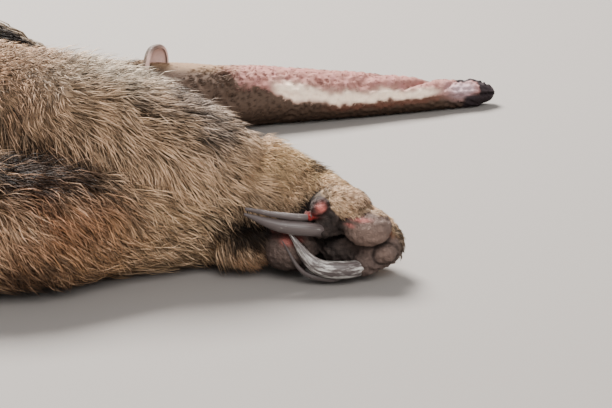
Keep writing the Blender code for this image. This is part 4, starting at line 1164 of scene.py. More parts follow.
def tone_group():
    """Colour, Scale and Amount in; the colour times 1 + Amount (noise - 0.5) out."""
    sockets = (("Colour", "Color"), ("Scale", "Float"), ("Amount", "Float"))
    tree, inside, outside = new_group("drifting_tone", sockets, ("Colour", "Color"))
    place = add_node(tree, "ShaderNodeTexCoord")
    noise = add_node(tree, "ShaderNodeTexNoise", {"Detail": 6.0, "Roughness": 0.65})
    centred = add_node(tree, "ShaderNodeMath", {1: 0.5}, operation="SUBTRACT")
    scaled = add_node(tree, "ShaderNodeMath", operation="MULTIPLY")
    lifted = add_node(tree, "ShaderNodeMath", {1: 1.0}, operation="ADD")
    toned_colour = add_node(tree, "ShaderNodeVectorMath", operation="SCALE")
    wired(tree, (place.outputs["Object"], noise.inputs["Vector"]),
          (inside.outputs["Scale"], noise.inputs["Scale"]),
          (noise.outputs["Fac"], centred.inputs[0]),
          (centred.outputs[0], scaled.inputs[0]),
          (inside.outputs["Amount"], scaled.inputs[1]),
          (scaled.outputs[0], lifted.inputs[0]),
          (inside.outputs["Colour"], toned_colour.inputs[0]),
          (lifted.outputs[0], toned_colour.inputs["Scale"]),
          (toned_colour.outputs[0], outside.inputs["Colour"]))
    return tree


def crackle_group():
    """Scale and Depth in; a height out, high in the plates of a Voronoi pattern, low in its cracks."""
    sockets = (("Scale", "Float"), ("Depth", "Float"))
    tree, inside, outside = new_group("skin_crackle", sockets, ("Height", "Float"))
    place = add_node(tree, "ShaderNodeTexCoord")
    warp = add_node(tree, "ShaderNodeTexNoise", {"Scale": 90.0})
    bent = add_node(tree, "ShaderNodeVectorMath", {1: (0.010, 0.010, 0.010)}, operation="MULTIPLY_ADD")
    plates = add_node(tree, "ShaderNodeTexVoronoi", feature="DISTANCE_TO_EDGE")
    capped = add_node(tree, "ShaderNodeMath", {1: 0.16}, operation="MINIMUM")
    deep = add_node(tree, "ShaderNodeMath", operation="MULTIPLY")
    wired(tree, (place.outputs["Object"], warp.inputs["Vector"]),
          (warp.outputs["Color"], bent.inputs[0]),
          (place.outputs["Object"], bent.inputs[2]),
          (bent.outputs[0], plates.inputs["Vector"]),
          (inside.outputs["Scale"], plates.inputs["Scale"]),
          (plates.outputs["Distance"], capped.inputs[0]),
          (capped.outputs[0], deep.inputs[0]),
          (inside.outputs["Depth"], deep.inputs[1]),
          (deep.outputs[0], outside.inputs["Height"]))
    return tree


DRIFTING_TONE = tone_group()
SKIN_CRACKLE = crackle_group()


def new_material(name, roughness, specular=0.5):
    """A material with its Principled shader, and the tree that it stands in."""
    material = bpy.data.materials.new(name)
    material.use_nodes = True
    shader = material.node_tree.nodes["Principled BSDF"]
    shader.inputs["Roughness"].default_value = roughness
    shader.inputs["Specular IOR Level"].default_value = specular
    return material, material.node_tree, shader


def toned(tree, colour, scale, amount):
    """The output of a drifting tone laid over a colour, which is an output or three numbers."""
    group = add_node(tree, "ShaderNodeGroup", node_tree=DRIFTING_TONE)
    group.inputs["Scale"].default_value = scale
    group.inputs["Amount"].default_value = amount
    if isinstance(colour, bpy.types.NodeSocket):
        tree.links.new(colour, group.inputs["Colour"])
    else:
        group.inputs["Colour"].default_value = (*colour, 1.0)
    return group.outputs["Colour"]


def crackled(tree, scale, depth):
    """The height output of a skin crackle of that scale and depth."""
    group = add_node(tree, "ShaderNodeGroup", node_tree=SKIN_CRACKLE)
    group.inputs["Scale"].default_value = scale
    group.inputs["Depth"].default_value = depth
    return group.outputs["Height"]


def painted(tree, name, output="Color"):
    """An output of the attribute of that name."""
    return add_node(tree, "ShaderNodeAttribute", attribute_name=name).outputs[output]


def stretched_noise(tree, coordinates, stretch, detail, turn=0.0, roughness=0.5):
    """The value of a noise on coordinates stretched by three factors, and turned about Z."""
    values = {"Rotation": (0.0, 0.0, turn), "Scale": stretch}
    mapping = add_node(tree, "ShaderNodeMapping", values)
    noise = add_node(tree, "ShaderNodeTexNoise", {"Scale": 1.0, "Detail": detail, "Roughness": roughness})
    wired(tree, (coordinates, mapping.inputs["Vector"]), (mapping.outputs["Vector"], noise.inputs["Vector"]))
    return noise.outputs["Fac"]


def bumped(tree, shader, height, distance, strength=1.0, beneath=None):
    """A Bump node on a height, feeding the shader's normal; beneath is another bump under it."""
    bump = add_node(tree, "ShaderNodeBump", {"Distance": distance, "Strength": strength})
    tree.links.new(height, bump.inputs["Height"])
    if beneath:
        tree.links.new(beneath.outputs["Normal"], bump.inputs["Normal"])
    tree.links.new(bump.outputs["Normal"], shader.inputs["Normal"])
    return bump


print("groups", DRIFTING_TONE.name, SKIN_CRACKLE.name)

# %% [markdown]
# ## The finish of skin
# The skin's colour is the markings, darkened everywhere but on the pads and the face by painted shade,
# the shade that falls under hair. A painted mask gives the bare pads a crackle of small plates. Fine
# streaks in the face's direction lie over all of the skin, and stand for the flat hair of the face.

# %% Finish the skin
FACE_TURN = math.radians(-17.0)
FURRED_SHADE = 0.55
FURRED_HAND = ((0.08, 0.0, 0.0), (0.10, 0.09, 0.09))


def set_rows(mesh, name, kind, field, rows):
    """A named attribute of that kind on every point of a mesh."""
    attribute = mesh.attributes.new(name, kind, "POINT")
    attribute.data.foreach_set(field, np.asarray(rows, dtype=np.float32).ravel())


def set_colour(mesh, name, colours):
    """A colour for every point of a mesh."""
    set_rows(mesh, name, "FLOAT_COLOR", "color", np.column_stack((colours, np.ones(len(colours)))))


def skin_material():
    """Markings with a drifting tone, crackle on the pads, and streaks along the face."""
    material, tree, shader = new_material("skin", 0.74, 0.20)
    tree.links.new(toned(tree, painted(tree, "marking"), 160.0, 0.55), shader.inputs["Base Color"])
    masked = add_node(tree, "ShaderNodeMath", operation="MULTIPLY")
    wired(tree, (crackled(tree, 420.0, 5.0), masked.inputs[0]),
          (painted(tree, "pad", "Fac"), masked.inputs[1]))
    plates = bumped(tree, shader, masked.outputs[0], 0.0006)
    place = add_node(tree, "ShaderNodeTexCoord").outputs["Object"]
    streaks = stretched_noise(tree, place, (70.0, 520.0, 520.0), 3.0, turn=FACE_TURN)
    bumped(tree, shader, streaks, 0.0007, 0.5, plates)
    return material


SKIN_MATERIAL = skin_material()
skin.data.materials.clear()
skin.data.materials.append(SKIN_MATERIAL)
skin_colours, skin_owner = markings(skin_places)
near_hand = {side: within(hand_local(skin_places, side), *FURRED_HAND) for side in SIDES}
pad_mask = np.maximum(*(palm_share(hand_local(skin_places, side)) * near_hand[side] for side in near_hand))
on_face = 1.0 - step_up(chain_place(skin_places, CHAINS["axis"])[0], STATIONS["brow"], STATIONS["occiput"])
furred = (1.0 - pad_mask) * (1.0 - on_face * (skin_owner == 0))
# Painted shade: the skin that hair will cover is darkened by FURRED_SHADE.
set_colour(skin.data, "marking", skin_colours * (1.0 - FURRED_SHADE * furred)[:, None])
set_rows(skin.data, "pad", "FLOAT", "value", pad_mask)
skin.data.polygons.foreach_set("use_smooth", np.ones(len(skin.data.polygons), dtype=bool))
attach(skin, BODY)
FLESH_NODES = ("head", "neck", "chest", "torso", "rump", "tail_base", "tail_middle", "tail_end",
               "upper_arm_left", "forearm_left", "forepaw_left", "upper_arm_right", "forearm_right",
               "forepaw_right", "thigh_left", "shank_left", "hind_foot_left", "thigh_right", "shank_right",
               "hind_foot_right")
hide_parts(*FLESH_NODES)
print("skin triangles", sum(len(p.vertices) - 2 for p in skin.data.polygons))

# %% [markdown]
# ## Eyes
# Each eyeball is a dark wet sphere, most of it behind the lids. A clear coat of its own gives the
# small sharp glint.

# %% Make the eyes
EYE_BROWN = screen(26, 18, 15)


def finished(name, arrays, material, slot, *nodes):
    """A piece of these arrays with its material, riding on the body and standing for its nodes."""
    piece = linked(name, mesh_of(name, *arrays))
    piece.data.materials.append(material)
    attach(piece, BODY)
    if nodes:
        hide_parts(*nodes)
    return piece


def eye_material():
    """Near-black brown under a wet coat."""
    material, tree, shader = new_material("wet_eye", 0.12)
    tree.links.new(toned(tree, EYE_BROWN, 400.0, 0.8), shader.inputs["Base Color"])
    shader.inputs["Coat Weight"].default_value = 1.0
    shader.inputs["Coat Roughness"].default_value = 0.03
    return material


EYE_MATERIAL = eye_material()
for eye_name, (eye_centre, nose_way, eye_up, eye_out) in EYES.items():
    ball = ellipsoid(eye_centre, (EYE_RADIUS,) * 3, np.stack((nose_way, eye_up, eye_out)), 22, 36)
    finished("eye_ball_" + eye_name, ball, EYE_MATERIAL, "eye", "eye_" + eye_name)
print("eyes", list(EYES))

# %% [markdown]
# ## Ears
# The ears are small round cups that face forward and out. One closed surface runs from the back of
# the cup over its rim and down into the hollow, so that the ear has a real thin wall.

# %% Make the ears
EAR_RADII = np.array((0.0165, 0.0105, 0.0215))
EAR_WALL = 0.86
EAR_RIM = math.radians(14.0)
EAR_PINK = screen(226, 190, 180)
EAR_BACK = screen(92, 76, 64)


def ear_axes(side):
    """The ear's middle and its own axes: across, facing and upward."""
    centre, nose_way, back_way, side_way, _, half_side = head_frame(-0.064, side)
    outward = unit(side_way * 1.25 + back_way)
    upward = unit(outward * 0.97 - nose_way * 0.18)
    facing = nose_way * 0.55 + side_way * 0.9 - back_way * 0.4
    facing = unit(facing - upward * float(facing @ upward))
    middle = centre + outward * (half_side * 0.90 + 0.0012)
    return middle, np.stack((np.cross(facing, upward), facing, upward))


def ear_cup(side, rings=26, points=48):
    """The cup: an ellipsoid's back half out to the rim, then a smaller one's back in again.

    A ring at tilt p has points (rx cos p cos t, ry sin p, rz cos p sin t); the rim waves a little,
    and the upper half is drawn out to a low point.
    """
    middle, axes = ear_axes(side)
    outer = np.linspace(-math.pi / 2, EAR_RIM, rings // 2 + 1)[1:]
    tilt = np.concatenate((outer, outer[::-1]))[:, None]
    shrink = np.concatenate((np.ones(len(outer)), np.full(len(outer), EAR_WALL)))[:, None]
    around = np.linspace(0.0, math.tau, points, endpoint=False)[None]
    wave = 1.0 + (0.07 * np.sin(3.0 * around + 0.6) + 0.04 * np.sin(5.0 * around + 2.0)) * np.cos(tilt)
    point = 1.0 + 0.16 * np.clip(np.sin(around), 0.0, 1.0) ** 3
    local = np.stack((EAR_RADII[0] * shrink * np.cos(tilt) * np.cos(around) * wave,
                      EAR_RADII[1] * shrink * np.sin(tilt) * np.ones_like(around) + (1.0 - shrink) * 0.006,
                      EAR_RADII[2] * shrink * np.cos(tilt) * np.sin(around) * wave * point), axis=-1)
    return closed_tube(middle + local @ axes)


def ear_material():
    """Painted ear colours with fine veins of tone and a soft skin relief."""
    material, tree, shader = new_material("ear_skin", 0.55, 0.4)
    tree.links.new(toned(tree, painted(tree, "marking"), 220.0, 0.45), shader.inputs["Base Color"])
    bumped(tree, shader, crackled(tree, 700.0, 2.0), 0.0005)
    return material


EAR_MATERIAL = ear_material()
for ear_name, ear_side in (("right", 1), ("left", -1)):
    ear = finished("ear_cup_" + ear_name, ear_cup(ear_side), EAR_MATERIAL, "ear_skin", "ear_" + ear_name)
    ear_places = vertex_places(ear.data)
    ear_middle, ear_way = ear_axes(ear_side)
    ear_local = (ear_places - ear_middle) @ ear_way.T
    ear_normals = vertex_normals(ear.data)
    inside_cup = step_up(ear_normals @ ear_way[1], -0.1, 0.3)
    ear_colours = mixed(np.tile(EAR_BACK, (len(ear_places), 1)), EAR_PINK, inside_cup)
    ear_colours = mixed(ear_colours, DARK_BROWN, step_up(ear_local[:, 2], 0.015, 0.022) * 0.9)
    set_colour(ear.data, "marking", ear_colours)
print("ears made")

# %% [markdown]
# ## Claws
# A claw is a tapering horn tube, deeper than it is wide, on a curved line. Its root is sunk in the
# end of its digit. Fine fibres run along it, and silver patches on the grey are painted highlights.

# %% Make the claws
CLAW_DARK = screen(58, 50, 49)
CLAW_GREY = screen(106, 96, 95)
CLAW_SILVER_HIGHLIGHT = screen(205, 201, 196)
CLAW_ROOT_SHARE = 0.10
CLAW_FLATTEN = 0.80
CLAW_KEEL = 0.22
CLAW_GROOVE = 0.10
GRAIN_SCALE = 60.0
HIND_CLAW_REACH = 0.026
HIND_CLAW_SINK = 0.004
HIND_CLAW_RADII = (0.0044, 0.0036, 0.0006)


def claw_grid(keys, rings=46, points=28):
    """A tube's rings, drawn in by keel sin^2 t on the upper side and by a groove's bell on the lower."""
    grid = tube_points(keys, rings, points, caps=(0.3, 0.3), cap_rings=4)
    centre = grid.mean(axis=1, keepdims=True)
    around = np.linspace(0.0, math.tau, points, endpoint=False)
    keel = 1.0 - CLAW_KEEL * np.clip(np.sin(around), 0.0, 1.0) ** 2
    groove = 1.0 - CLAW_GROOVE * np.exp(-((np.cos(around) - 0.1) / 0.16) ** 2) * (np.sin(around) < 0.0)
    return centre + (grid - centre) * (keel * groove)[None, :, None]


def claw_material(name, worn):
    """Grey horn, fibres from a stretched noise, and a painted silver highlight where another passes a
    threshold.
    """
    material, tree, shader = new_material(name, 0.34, 0.5)
    grain = painted(tree, "grain", "Vector")
    fibres = stretched_noise(tree, grain, (9.0, 9.0, 0.6), 4.0)
    patches = stretched_noise(tree, grain, (2.4, 2.4, 1.1), 5.0, roughness=0.7)
    # The worn value sets how much of the claw is painted silver highlight.
    limits = {"From Min": 0.66 - worn * 0.19, "From Max": 0.78 - worn * 0.16}
    threshold = add_node(tree, "ShaderNodeMapRange", limits)
    body = add_node(tree, "ShaderNodeMix", {"A": (*CLAW_DARK, 1.0), "B": (*CLAW_GREY, 1.0)}, data_type="RGBA")
    silver = add_node(tree, "ShaderNodeMix", {"B": (*CLAW_SILVER_HIGHLIGHT, 1.0)}, data_type="RGBA")
    wired(tree, (patches, threshold.inputs["Value"]),
          (fibres, body.inputs["Factor"]),
          (body.outputs["Result"], silver.inputs["A"]),
          (threshold.outputs["Result"], silver.inputs["Factor"]),
          (silver.outputs["Result"], shader.inputs["Base Color"]))
    bumped(tree, shader, fibres, 0.0004, 0.7)
    return material


# A plain material, and one with more painted silver highlight.
CLAW_MATERIALS = (claw_material("claw_plain", 0.2), claw_material("claw_highlit", 1.0))


def make_claw(name, keys, node, worn):
    """One claw with its grain attribute: cosine and sine round it, and the distance along it."""
    grid = claw_grid(keys)
    piece = finished(name, closed_tube(grid), CLAW_MATERIALS[worn], "claw", node)
    rings, points = grid.shape[:2]
    around = np.linspace(0.0, math.tau, points, endpoint=False)
    centre = grid.mean(axis=1)
    along = key_marks(centre) * GRAIN_SCALE
    rows = np.stack((np.tile(np.cos(around), (rings, 1)), np.tile(np.sin(around), (rings, 1)),
                     np.tile(along[:, None], (1, points))), axis=-1).reshape(-1, 3)
    rows = np.vstack((rows, (0.0, 0.0, along[0]), (0.0, 0.0, along[-1])))
    set_rows(piece.data, "grain", "FLOAT_VECTOR", "vector", rows)
    return piece


def hand_claw_keys(number, side):
    """Root in the end of the digit, base, bend and tip, with the share of the radius left at the tip."""
    base, bend, tip, radius, blunt = CLAWS[number]
    end = np.array(DIGITS[number][-1])
    root = end + (np.array(base) - np.array(bend)) * CLAW_ROOT_SHARE
    places = hand_places((root, base, bend, tip), side)
    return tube_rows(places, radius * np.array((0.85, 1.02, 0.92, blunt)), CLAW_FLATTEN)


# The third claw of each hand gets the material with more painted silver highlight.
for side in SIDES:
    for number in range(len(CLAWS)):
        make_claw("claw_%s_hand_%d" % (side, number + 1), hand_claw_keys(number, side),
                  "claw_%s_fore_%d" % (side, number + 1), 1 if number == 2 else 0)


def hind_claws(side):
    """Five short claws side by side on the end of a hind foot."""
    chain = CHAINS["hindleg_" + side]
    centre, tangent = chain["centre"][-1], chain["tangent"][-1]
    upward, half_up = chain["upward"][-1], float(chain["half_up"][-1, 0])
    for number in range(5):
        rise = half_up * 0.66 * (number - 2) / 2
        reach = HIND_CLAW_REACH * (1.0 - 0.12 * abs(number - 2))
        root = centre + upward * rise - tangent * HIND_CLAW_SINK
        path = (root, root + tangent * (reach * 0.55 + HIND_CLAW_SINK) + upward * 0.001,
                root + tangent * (reach + HIND_CLAW_SINK) - upward * 0.002)
        keys = tube_rows(path, HIND_CLAW_RADII, 0.85)
        make_claw("claw_%s_foot_%d" % (side, number + 1), keys, "hind_claw_%s_%d" % (side, number + 1), 0)


for side in SIDES:
    hind_claws(side)

# %% [markdown]
# ## How hair is laid
# Every tuft is a thin three-sided spike of solid mesh: a small closed triangle sunk in the skin, one
# or two more triangles on a bent line, and a point. Particle hair would not survive an export, and
# real hair of this coarse kind does lie in such narrow locks. First come the roots: triangles of the
# skin are drawn by area within a region, and each root learns its place along and round a chain.

# %% Scatter roots over the skin
HAND_START = 0.010


def skin_corners(mesh):
    """The three corner numbers of every triangle of a mesh."""
    mesh.calc_loop_triangles()
    corners = np.empty(len(mesh.loop_triangles) * 3, dtype=np.int32)
    mesh.loop_triangles.foreach_get("vertices", corners)
    return corners.reshape(-1, 3)


SKIN_CORNERS = skin_corners(skin.data)
SKIN_NORMALS = vertex_normals(skin.data)
FACE_MIDDLE = skin_places[SKIN_CORNERS].mean(axis=1)
FACE_NORMAL = unit(SKIN_NORMALS[SKIN_CORNERS].mean(axis=1))
FACE_EDGES = skin_places[SKIN_CORNERS[:, 1:]] - skin_places[SKIN_CORNERS[:, :1]]
FACE_AREA = np.linalg.norm(np.cross(FACE_EDGES[:, 0], FACE_EDGES[:, 1]), axis=1) / 2
FACE_OWNER = skin_owner[SKIN_CORNERS[:, 0]]
FACE_FURRED = pad_mask[SKIN_CORNERS].mean(axis=1) < 0.5
FACE_HAND = {side: near_hand[side][SKIN_CORNERS[:, 0]] & (hand_local(FACE_MIDDLE, side)[:, 0] > HAND_START)
             for side in SIDES}


def body_region(*names):
    """The triangles of the skin that belong to these chains, without the hands."""
    numbers = [list(CHAINS).index(name) for name in names]
    return np.isin(FACE_OWNER, numbers) & ~FACE_HAND["left"] & ~FACE_HAND["right"]


def scatter(region, count, seed, share, chain):
    """Roots in a region, drawn by area times a share of place and normal, with their chain's axes.

    A root's place is corner + a edge + b other edge, with a and b even between 0 and 1 and folded
    back into the triangle.
    """
    rng = np.random.default_rng(seed)
    faces = np.nonzero(region)[0]
    weight = FACE_AREA[faces] * share(FACE_MIDDLE[faces], FACE_NORMAL[faces])
    face = faces[rng.choice(len(faces), size=count, p=weight / weight.sum())]
    a, b = rng.random((2, count, 1))
    over = a + b > 1.0
    a, b = np.where(over, 1.0 - a, a), np.where(over, 1.0 - b, b)
    one, two, three = (SKIN_CORNERS[face, k] for k in range(3))
    corner = skin_places[one]
    place = corner + a * (skin_places[two] - corner) + b * (skin_places[three] - corner)
    normal = unit(SKIN_NORMALS[one] * (1.0 - a - b) + SKIN_NORMALS[two] * a + SKIN_NORMALS[three] * b)
    along, angle, _ = chain_place(place, chain)
    ring = np.clip(np.rint(along / chain["marks"][1]).astype(int), 0, len(chain["marks"]) - 1)
    half_level, half_up = chain["half_level"][ring], chain["half_up"][ring]
    cos, sin = np.cos(angle)[:, None], np.sin(angle)[:, None]
    around = unit(chain["upward"][ring] * half_up * cos - chain["level"][ring] * half_level * sin)
    return {"chain": chain, "along": np.clip(along, 0.0, chain["marks"][-1]), "angle": angle, "place": place,
            "normal": normal, "tangent": chain["tangent"][ring], "around": around,
            "radius": (half_level + half_up)[:, 0] / 2, "stack": rng.uniform(0.0, 2.0, count)}


print("skin area", round(float(FACE_AREA.sum()), 3), "furred", round(float(FACE_AREA[FACE_FURRED].sum()), 3))

# %% [markdown]
# A tuft's line leaves the root along the comb direction, rises by its lift, bends back down with the
# curve of the body beneath, droops a little, and never goes under the floor. Its tip leans towards
# that of its lock's leader, which gathers neighbours into locks.

# %% Build tufts from whole arrays
HAIR_SINK = 0.0015
HAIR_FLOOR = 0.0009
PATCH = 0.003
MOST_SAG = 0.7
LONG_HAIR = 0.030
MOST_TRIANGLES = 192000
# Pale tips: hair colour brightened by a gain and a wash, partly pale hair, partly painted highlight
TIP_HIGHLIGHT_GAIN = 2.1
TIP_WASH = 0.16
MOST_BRIGHT = 0.92


def limited(colours):
    """Colours scaled down where a channel would be brighter than a hair can be, so that the hue stays."""
    peak = colours.max(axis=-1, keepdims=True)
    return colours * np.minimum(1.0, MOST_BRIGHT / np.maximum(peak, 1e-6))


def tuft_line(roots, style, shares):
    """Places on every tuft's line, and its sideways direction.

    A place is root + L (flow t + turn t^2 / 2) + normal L lift (t - 0.45 t^2) - curve, with a swing
    to the side, a lean to the lock's tip and a droop. The curve is normal (L t)^2 c^2 / 2 r, where c
    is the part of the flow that runs round the body and r the body's radius there.
    """
    length = style["length"][:, None]
    flow = style["flow"]
    normal = roots["normal"]
    round_share = dot(flow, roots["around"]) ** 2
    curve = round_share / roots["radius"][:, None] * style["follow"]
    side = np.cross(flow, normal)
    turn = style["turn"]
    lines = []
    for t in shares:
        rise = length * style["lift"][:, None] * (t - 0.45 * t * t)
        sag = np.minimum(curve * (length * t) ** 2 / 2, MOST_SAG * roots["radius"][:, None])
        swing = length * style["curl"][:, None] * math.sin(t * 3.0) * t
        place = (roots["place"] + (flow * t + turn * t * t / 2) * length + side * swing
                 + style["lean"] * t * t + normal * (rise - sag - HAIR_SINK * (1.0 - t) ** 2))
        place[:, 2] -= (style["droop"] * length * t * t)[:, 0]
        place[:, 2] = np.maximum(place[:, 2], HAIR_FLOOR + style["width"] * 0.4 * (1.0 + roots["stack"]))
        lines.append(place)
    return np.stack(lines, axis=1), side


def tuft_arrays(roots, style, rings):
    """Points, quads and triangles of tufts with so many rings of three points and a tip."""
    count = len(roots["place"])
    shares = np.linspace(0.0, 1.0, rings + 1)
    line, side = tuft_line(roots, style, shares)
    bulk = np.array((0.75, 1.0, 0.85, 0.6))[:rings]
    half = style["width"][:, None, None] / 2 * bulk[None, :, None]
    normal = roots["normal"][:, None]
    side = side[:, None]
    body = line[:, :rings]
    points = np.stack((body + side * half, body - side * half, body + normal * half * 1.15), axis=2)
    points = np.concatenate((points.reshape(count, rings * 3, 3), line[:, rings:]), axis=1)
    each = rings * 3 + 1
    base = (np.arange(count) * each)[:, None]
    quads = np.array([(r * 3 + k, r * 3 + (k + 1) % 3, r * 3 + 3 + (k + 1) % 3, r * 3 + 3 + k)
                      for r in range(rings - 1) for k in range(3)]).reshape(-1, 4)
    last = (rings - 1) * 3
    triangles = np.array([(last + k, last + (k + 1) % 3, each - 1) for k in range(3)] + [(0, 2, 1)])
    return (points.reshape(-1, 3), (base[:, :, None] + quads[None]).reshape(-1, 4),
            (base[:, :, None] + triangles[None]).reshape(-1, 3))


def tuft_colours(style, rings):
    """Each tuft's colour: painted shade at the root, and a paler tip, partly painted highlight."""
    share = np.concatenate((np.repeat(np.minimum(np.linspace(0.0, 1.5, rings + 1)[:rings], 1.0), 3), (1.0,)))
    # Painted shade at the root, fading out along the tuft.
    shade = style["root_shade"] + (1.0 - style["root_shade"]) * share
    colours = style["colour"][:, None] * shade[None, :, None]
    tip = (style["tip_pale"] * share[None] ** 2)[:, :, None]
    pale = limited(style["colour"] * TIP_HIGHLIGHT_GAIN)
    pale = pale + (pale.max(axis=-1, keepdims=True) - pale) * TIP_WASH
    return (colours + (pale[:, None] - colours) * tip).reshape(-1, 3)


def tuft_patches(roots, rings):
    """A small patch of the unwrapped chain for every tuft: u along it, v round it."""
    total = roots["chain"]["marks"][-1]
    middle = np.column_stack((0.01 + 0.98 * roots["along"] / total,
                              0.01 + 0.98 * np.mod(roots["angle"] / math.tau, 1.0)))
    rise = np.concatenate((np.repeat(np.linspace(-0.5, 0.5, rings + 1)[:rings], 3), (0.5,)))
    sway = np.concatenate((np.tile((-0.5, 0.5, 0.0), rings), (0.0,)))
    return (middle[:, None] + np.stack((rise, sway), axis=-1)[None] * PATCH).reshape(-1, 2)


def hair_material():
    """The tufts' own colours with a drifting tone and a soft sheen."""
    material, tree, shader = new_material("hair", 0.60, 0.22)
    tree.links.new(toned(tree, painted(tree, "marking"), 300.0, 0.35), shader.inputs["Base Color"])
    return material


HAIR_MATERIAL = hair_material()
HAIR_COUNTS = {}


def lay_piece(name, roots, style, rings, slot):
    """One joined mesh of tufts with its colours and its OFBake map."""
    piece = finished(name, tuft_arrays(roots, style, rings), HAIR_MATERIAL, slot)
    set_colour(piece.data, "marking", tuft_colours(style, rings))
    patches = tuft_patches(roots, rings)
    corner = np.empty(len(piece.data.loops), dtype=np.int32)
    piece.data.loops.foreach_get("vertex_index", corner)
    layer = piece.data.uv_layers.new(name="OFBake")
    layer.data.foreach_set("uv", patches[corner].astype(np.float32).ravel())
    HAIR_COUNTS[name] = len(roots["place"]) * (6 * (rings - 1) + 4)
    return piece


def rows_of(values, part, count):
    """These rows of every value that has one row for each tuft; the others stay."""
    return {key: value[part] if isinstance(value, np.ndarray) and len(value) == count else value
            for key, value in values.items()}


def lay_coat(name, roots, style, slot, long_rings=2):
    """Short tufts with two rings and long ones with more, in pieces of less than the most triangles."""
    long_hair = style["length"] > LONG_HAIR
    for kind, mask, rings in (("short", ~long_hair, 2), ("long", long_hair, long_rings)):
        chosen = np.nonzero(mask)[0]
        most = MOST_TRIANGLES // (6 * (rings - 1) + 4)
        parts = max(1, math.ceil(len(chosen) / most))
        for number in range(parts if len(chosen) else 0):
            part = chosen[number::parts]
            picked = rows_of(roots, part, len(mask))
            dressed = rows_of(style, part, len(mask))
            lay_piece("coat_%s_%s_%d" % (name, kind, number + 1), picked, dressed, rings, slot)


# %% [markdown]
# ## Combing
# The direction of the coat comes from two sources. On most of the body hair runs from the nose to the
# tail and from the back down to the belly, and gravity pulls on it. On the near foreleg it is combed
# by listed strokes, each with a heading across the view, a length and a lift, as it swirls there.

# %% Comb the coat


def laid_flat(flow, normal):
    """The part of a direction that lies in the skin, as a unit row."""
    return unit(flow - normal * dot(flow, normal))


def ruffled(roots, flow, rng, slow=0.25, fast=0.18, loose=0.15):
    """A flow turned sideways by a slow and a fast ripple and by a little chance."""
    side = np.cross(flow, roots["normal"])
    place = roots["place"]
    turn = (slow * ripple(place, 0.060, 31) + fast * ripple(place, 0.016, 32)
            + loose * rng.normal(size=len(place)))
    return unit(flow + side * turn[:, None])


def in_locks(roots, tips, rng, each):
    """For every tuft its lock, the step from its tip to the leader's, and how far out in the lock it is."""
    count = len(roots["place"])
    leaders = rng.choice(count, max(1, count // each), replace=False)
    tree = KDTree(len(leaders))
    for number, leader in enumerate(leaders):
        tree.insert(roots["place"][leader], number)
    tree.balance()
    lock = np.array([tree.find(place)[1] for place in roots["place"]])
    step = tips[leaders[lock]] - tips
    away = np.linalg.norm(roots["place"] - roots["place"][leaders[lock]], axis=1)
    outer = np.clip(away / max(float(np.percentile(away, 90)), 1e-6), 0.0, 1.0)
    return lock, step - roots["normal"] * dot(step, roots["normal"]), outer


DARK_TUFT = 0.24
LOCK_SIZE = 7
# A coat's looks: pull of a lock on its tufts, spread of brightness among locks and among tufts,
# painted shade in the valleys between locks, share of dark tufts, painted shade at the root, and the
# paleness of the tip, partly painted highlight
COAT_LOOKS = {"pull": 0.55, "lock_spread": 0.22, "spread": 0.26, "valley": 0.30, "dark_share": 0.10,
              "root_shade": 0.35, "tip_pale": 0.20, "curl": 0.05, "droop": 0.05, "follow": 0.85}


def coat_style(roots, rng, flow, length, width, lift, turn=None, **looks):
    """A full set of values for a patch of coat, with its colours from the markings."""
    looks = {**COAT_LOOKS, **looks}
    count = len(roots["place"])
    colours = markings(roots["place"])[0]
    turn = np.zeros((count, 3)) if turn is None else turn
    length = length * rng.uniform(0.7, 1.15, count)
    tips = roots["place"] + (flow + turn / 2) * length[:, None]
    lock, step, outer = in_locks(roots, tips, rng, LOCK_SIZE)
    lean = step * looks["pull"] * rng.uniform(0.3, 1.1, (count, 1))
    lean *= np.minimum(1.0, 0.45 * length / np.maximum(np.linalg.norm(lean, axis=1), 1e-9))[:, None]
    colours = colours * np.exp(rng.normal(0.0, looks["lock_spread"], count))[lock][:, None]
    # Painted shade: tufts far out in their lock are darker, as in the valleys between locks.
    colours = colours * (1.0 - looks["valley"] * outer)[:, None]
    patchy = 1.0 + 0.22 * ripple(roots["place"], 0.012, 41)
    bright = np.exp(rng.normal(0.0, looks["spread"], count)) * patchy
    colours = limited(colours * np.clip(bright, 0.25, 2.4)[:, None])
    dark = (rng.random(count) < looks["dark_share"])[:, None]
    colours = np.where(dark, colours * DARK_TUFT, colours)
    pale = looks["tip_pale"] * rng.uniform(0.2, 1.0, (count, 1))
    lift = lift * (1.25 - 0.5 * outer)
    return {"flow": flow, "length": length, "lean": lean, "turn": turn,
            "width": width * rng.uniform(0.7, 1.25, count), "lift": lift * rng.uniform(0.5, 1.5, count),
            "curl": looks["curl"] * rng.normal(size=count), "droop": looks["droop"],
            "follow": looks["follow"], "colour": colours,
            "root_shade": looks["root_shade"], "tip_pale": pale}


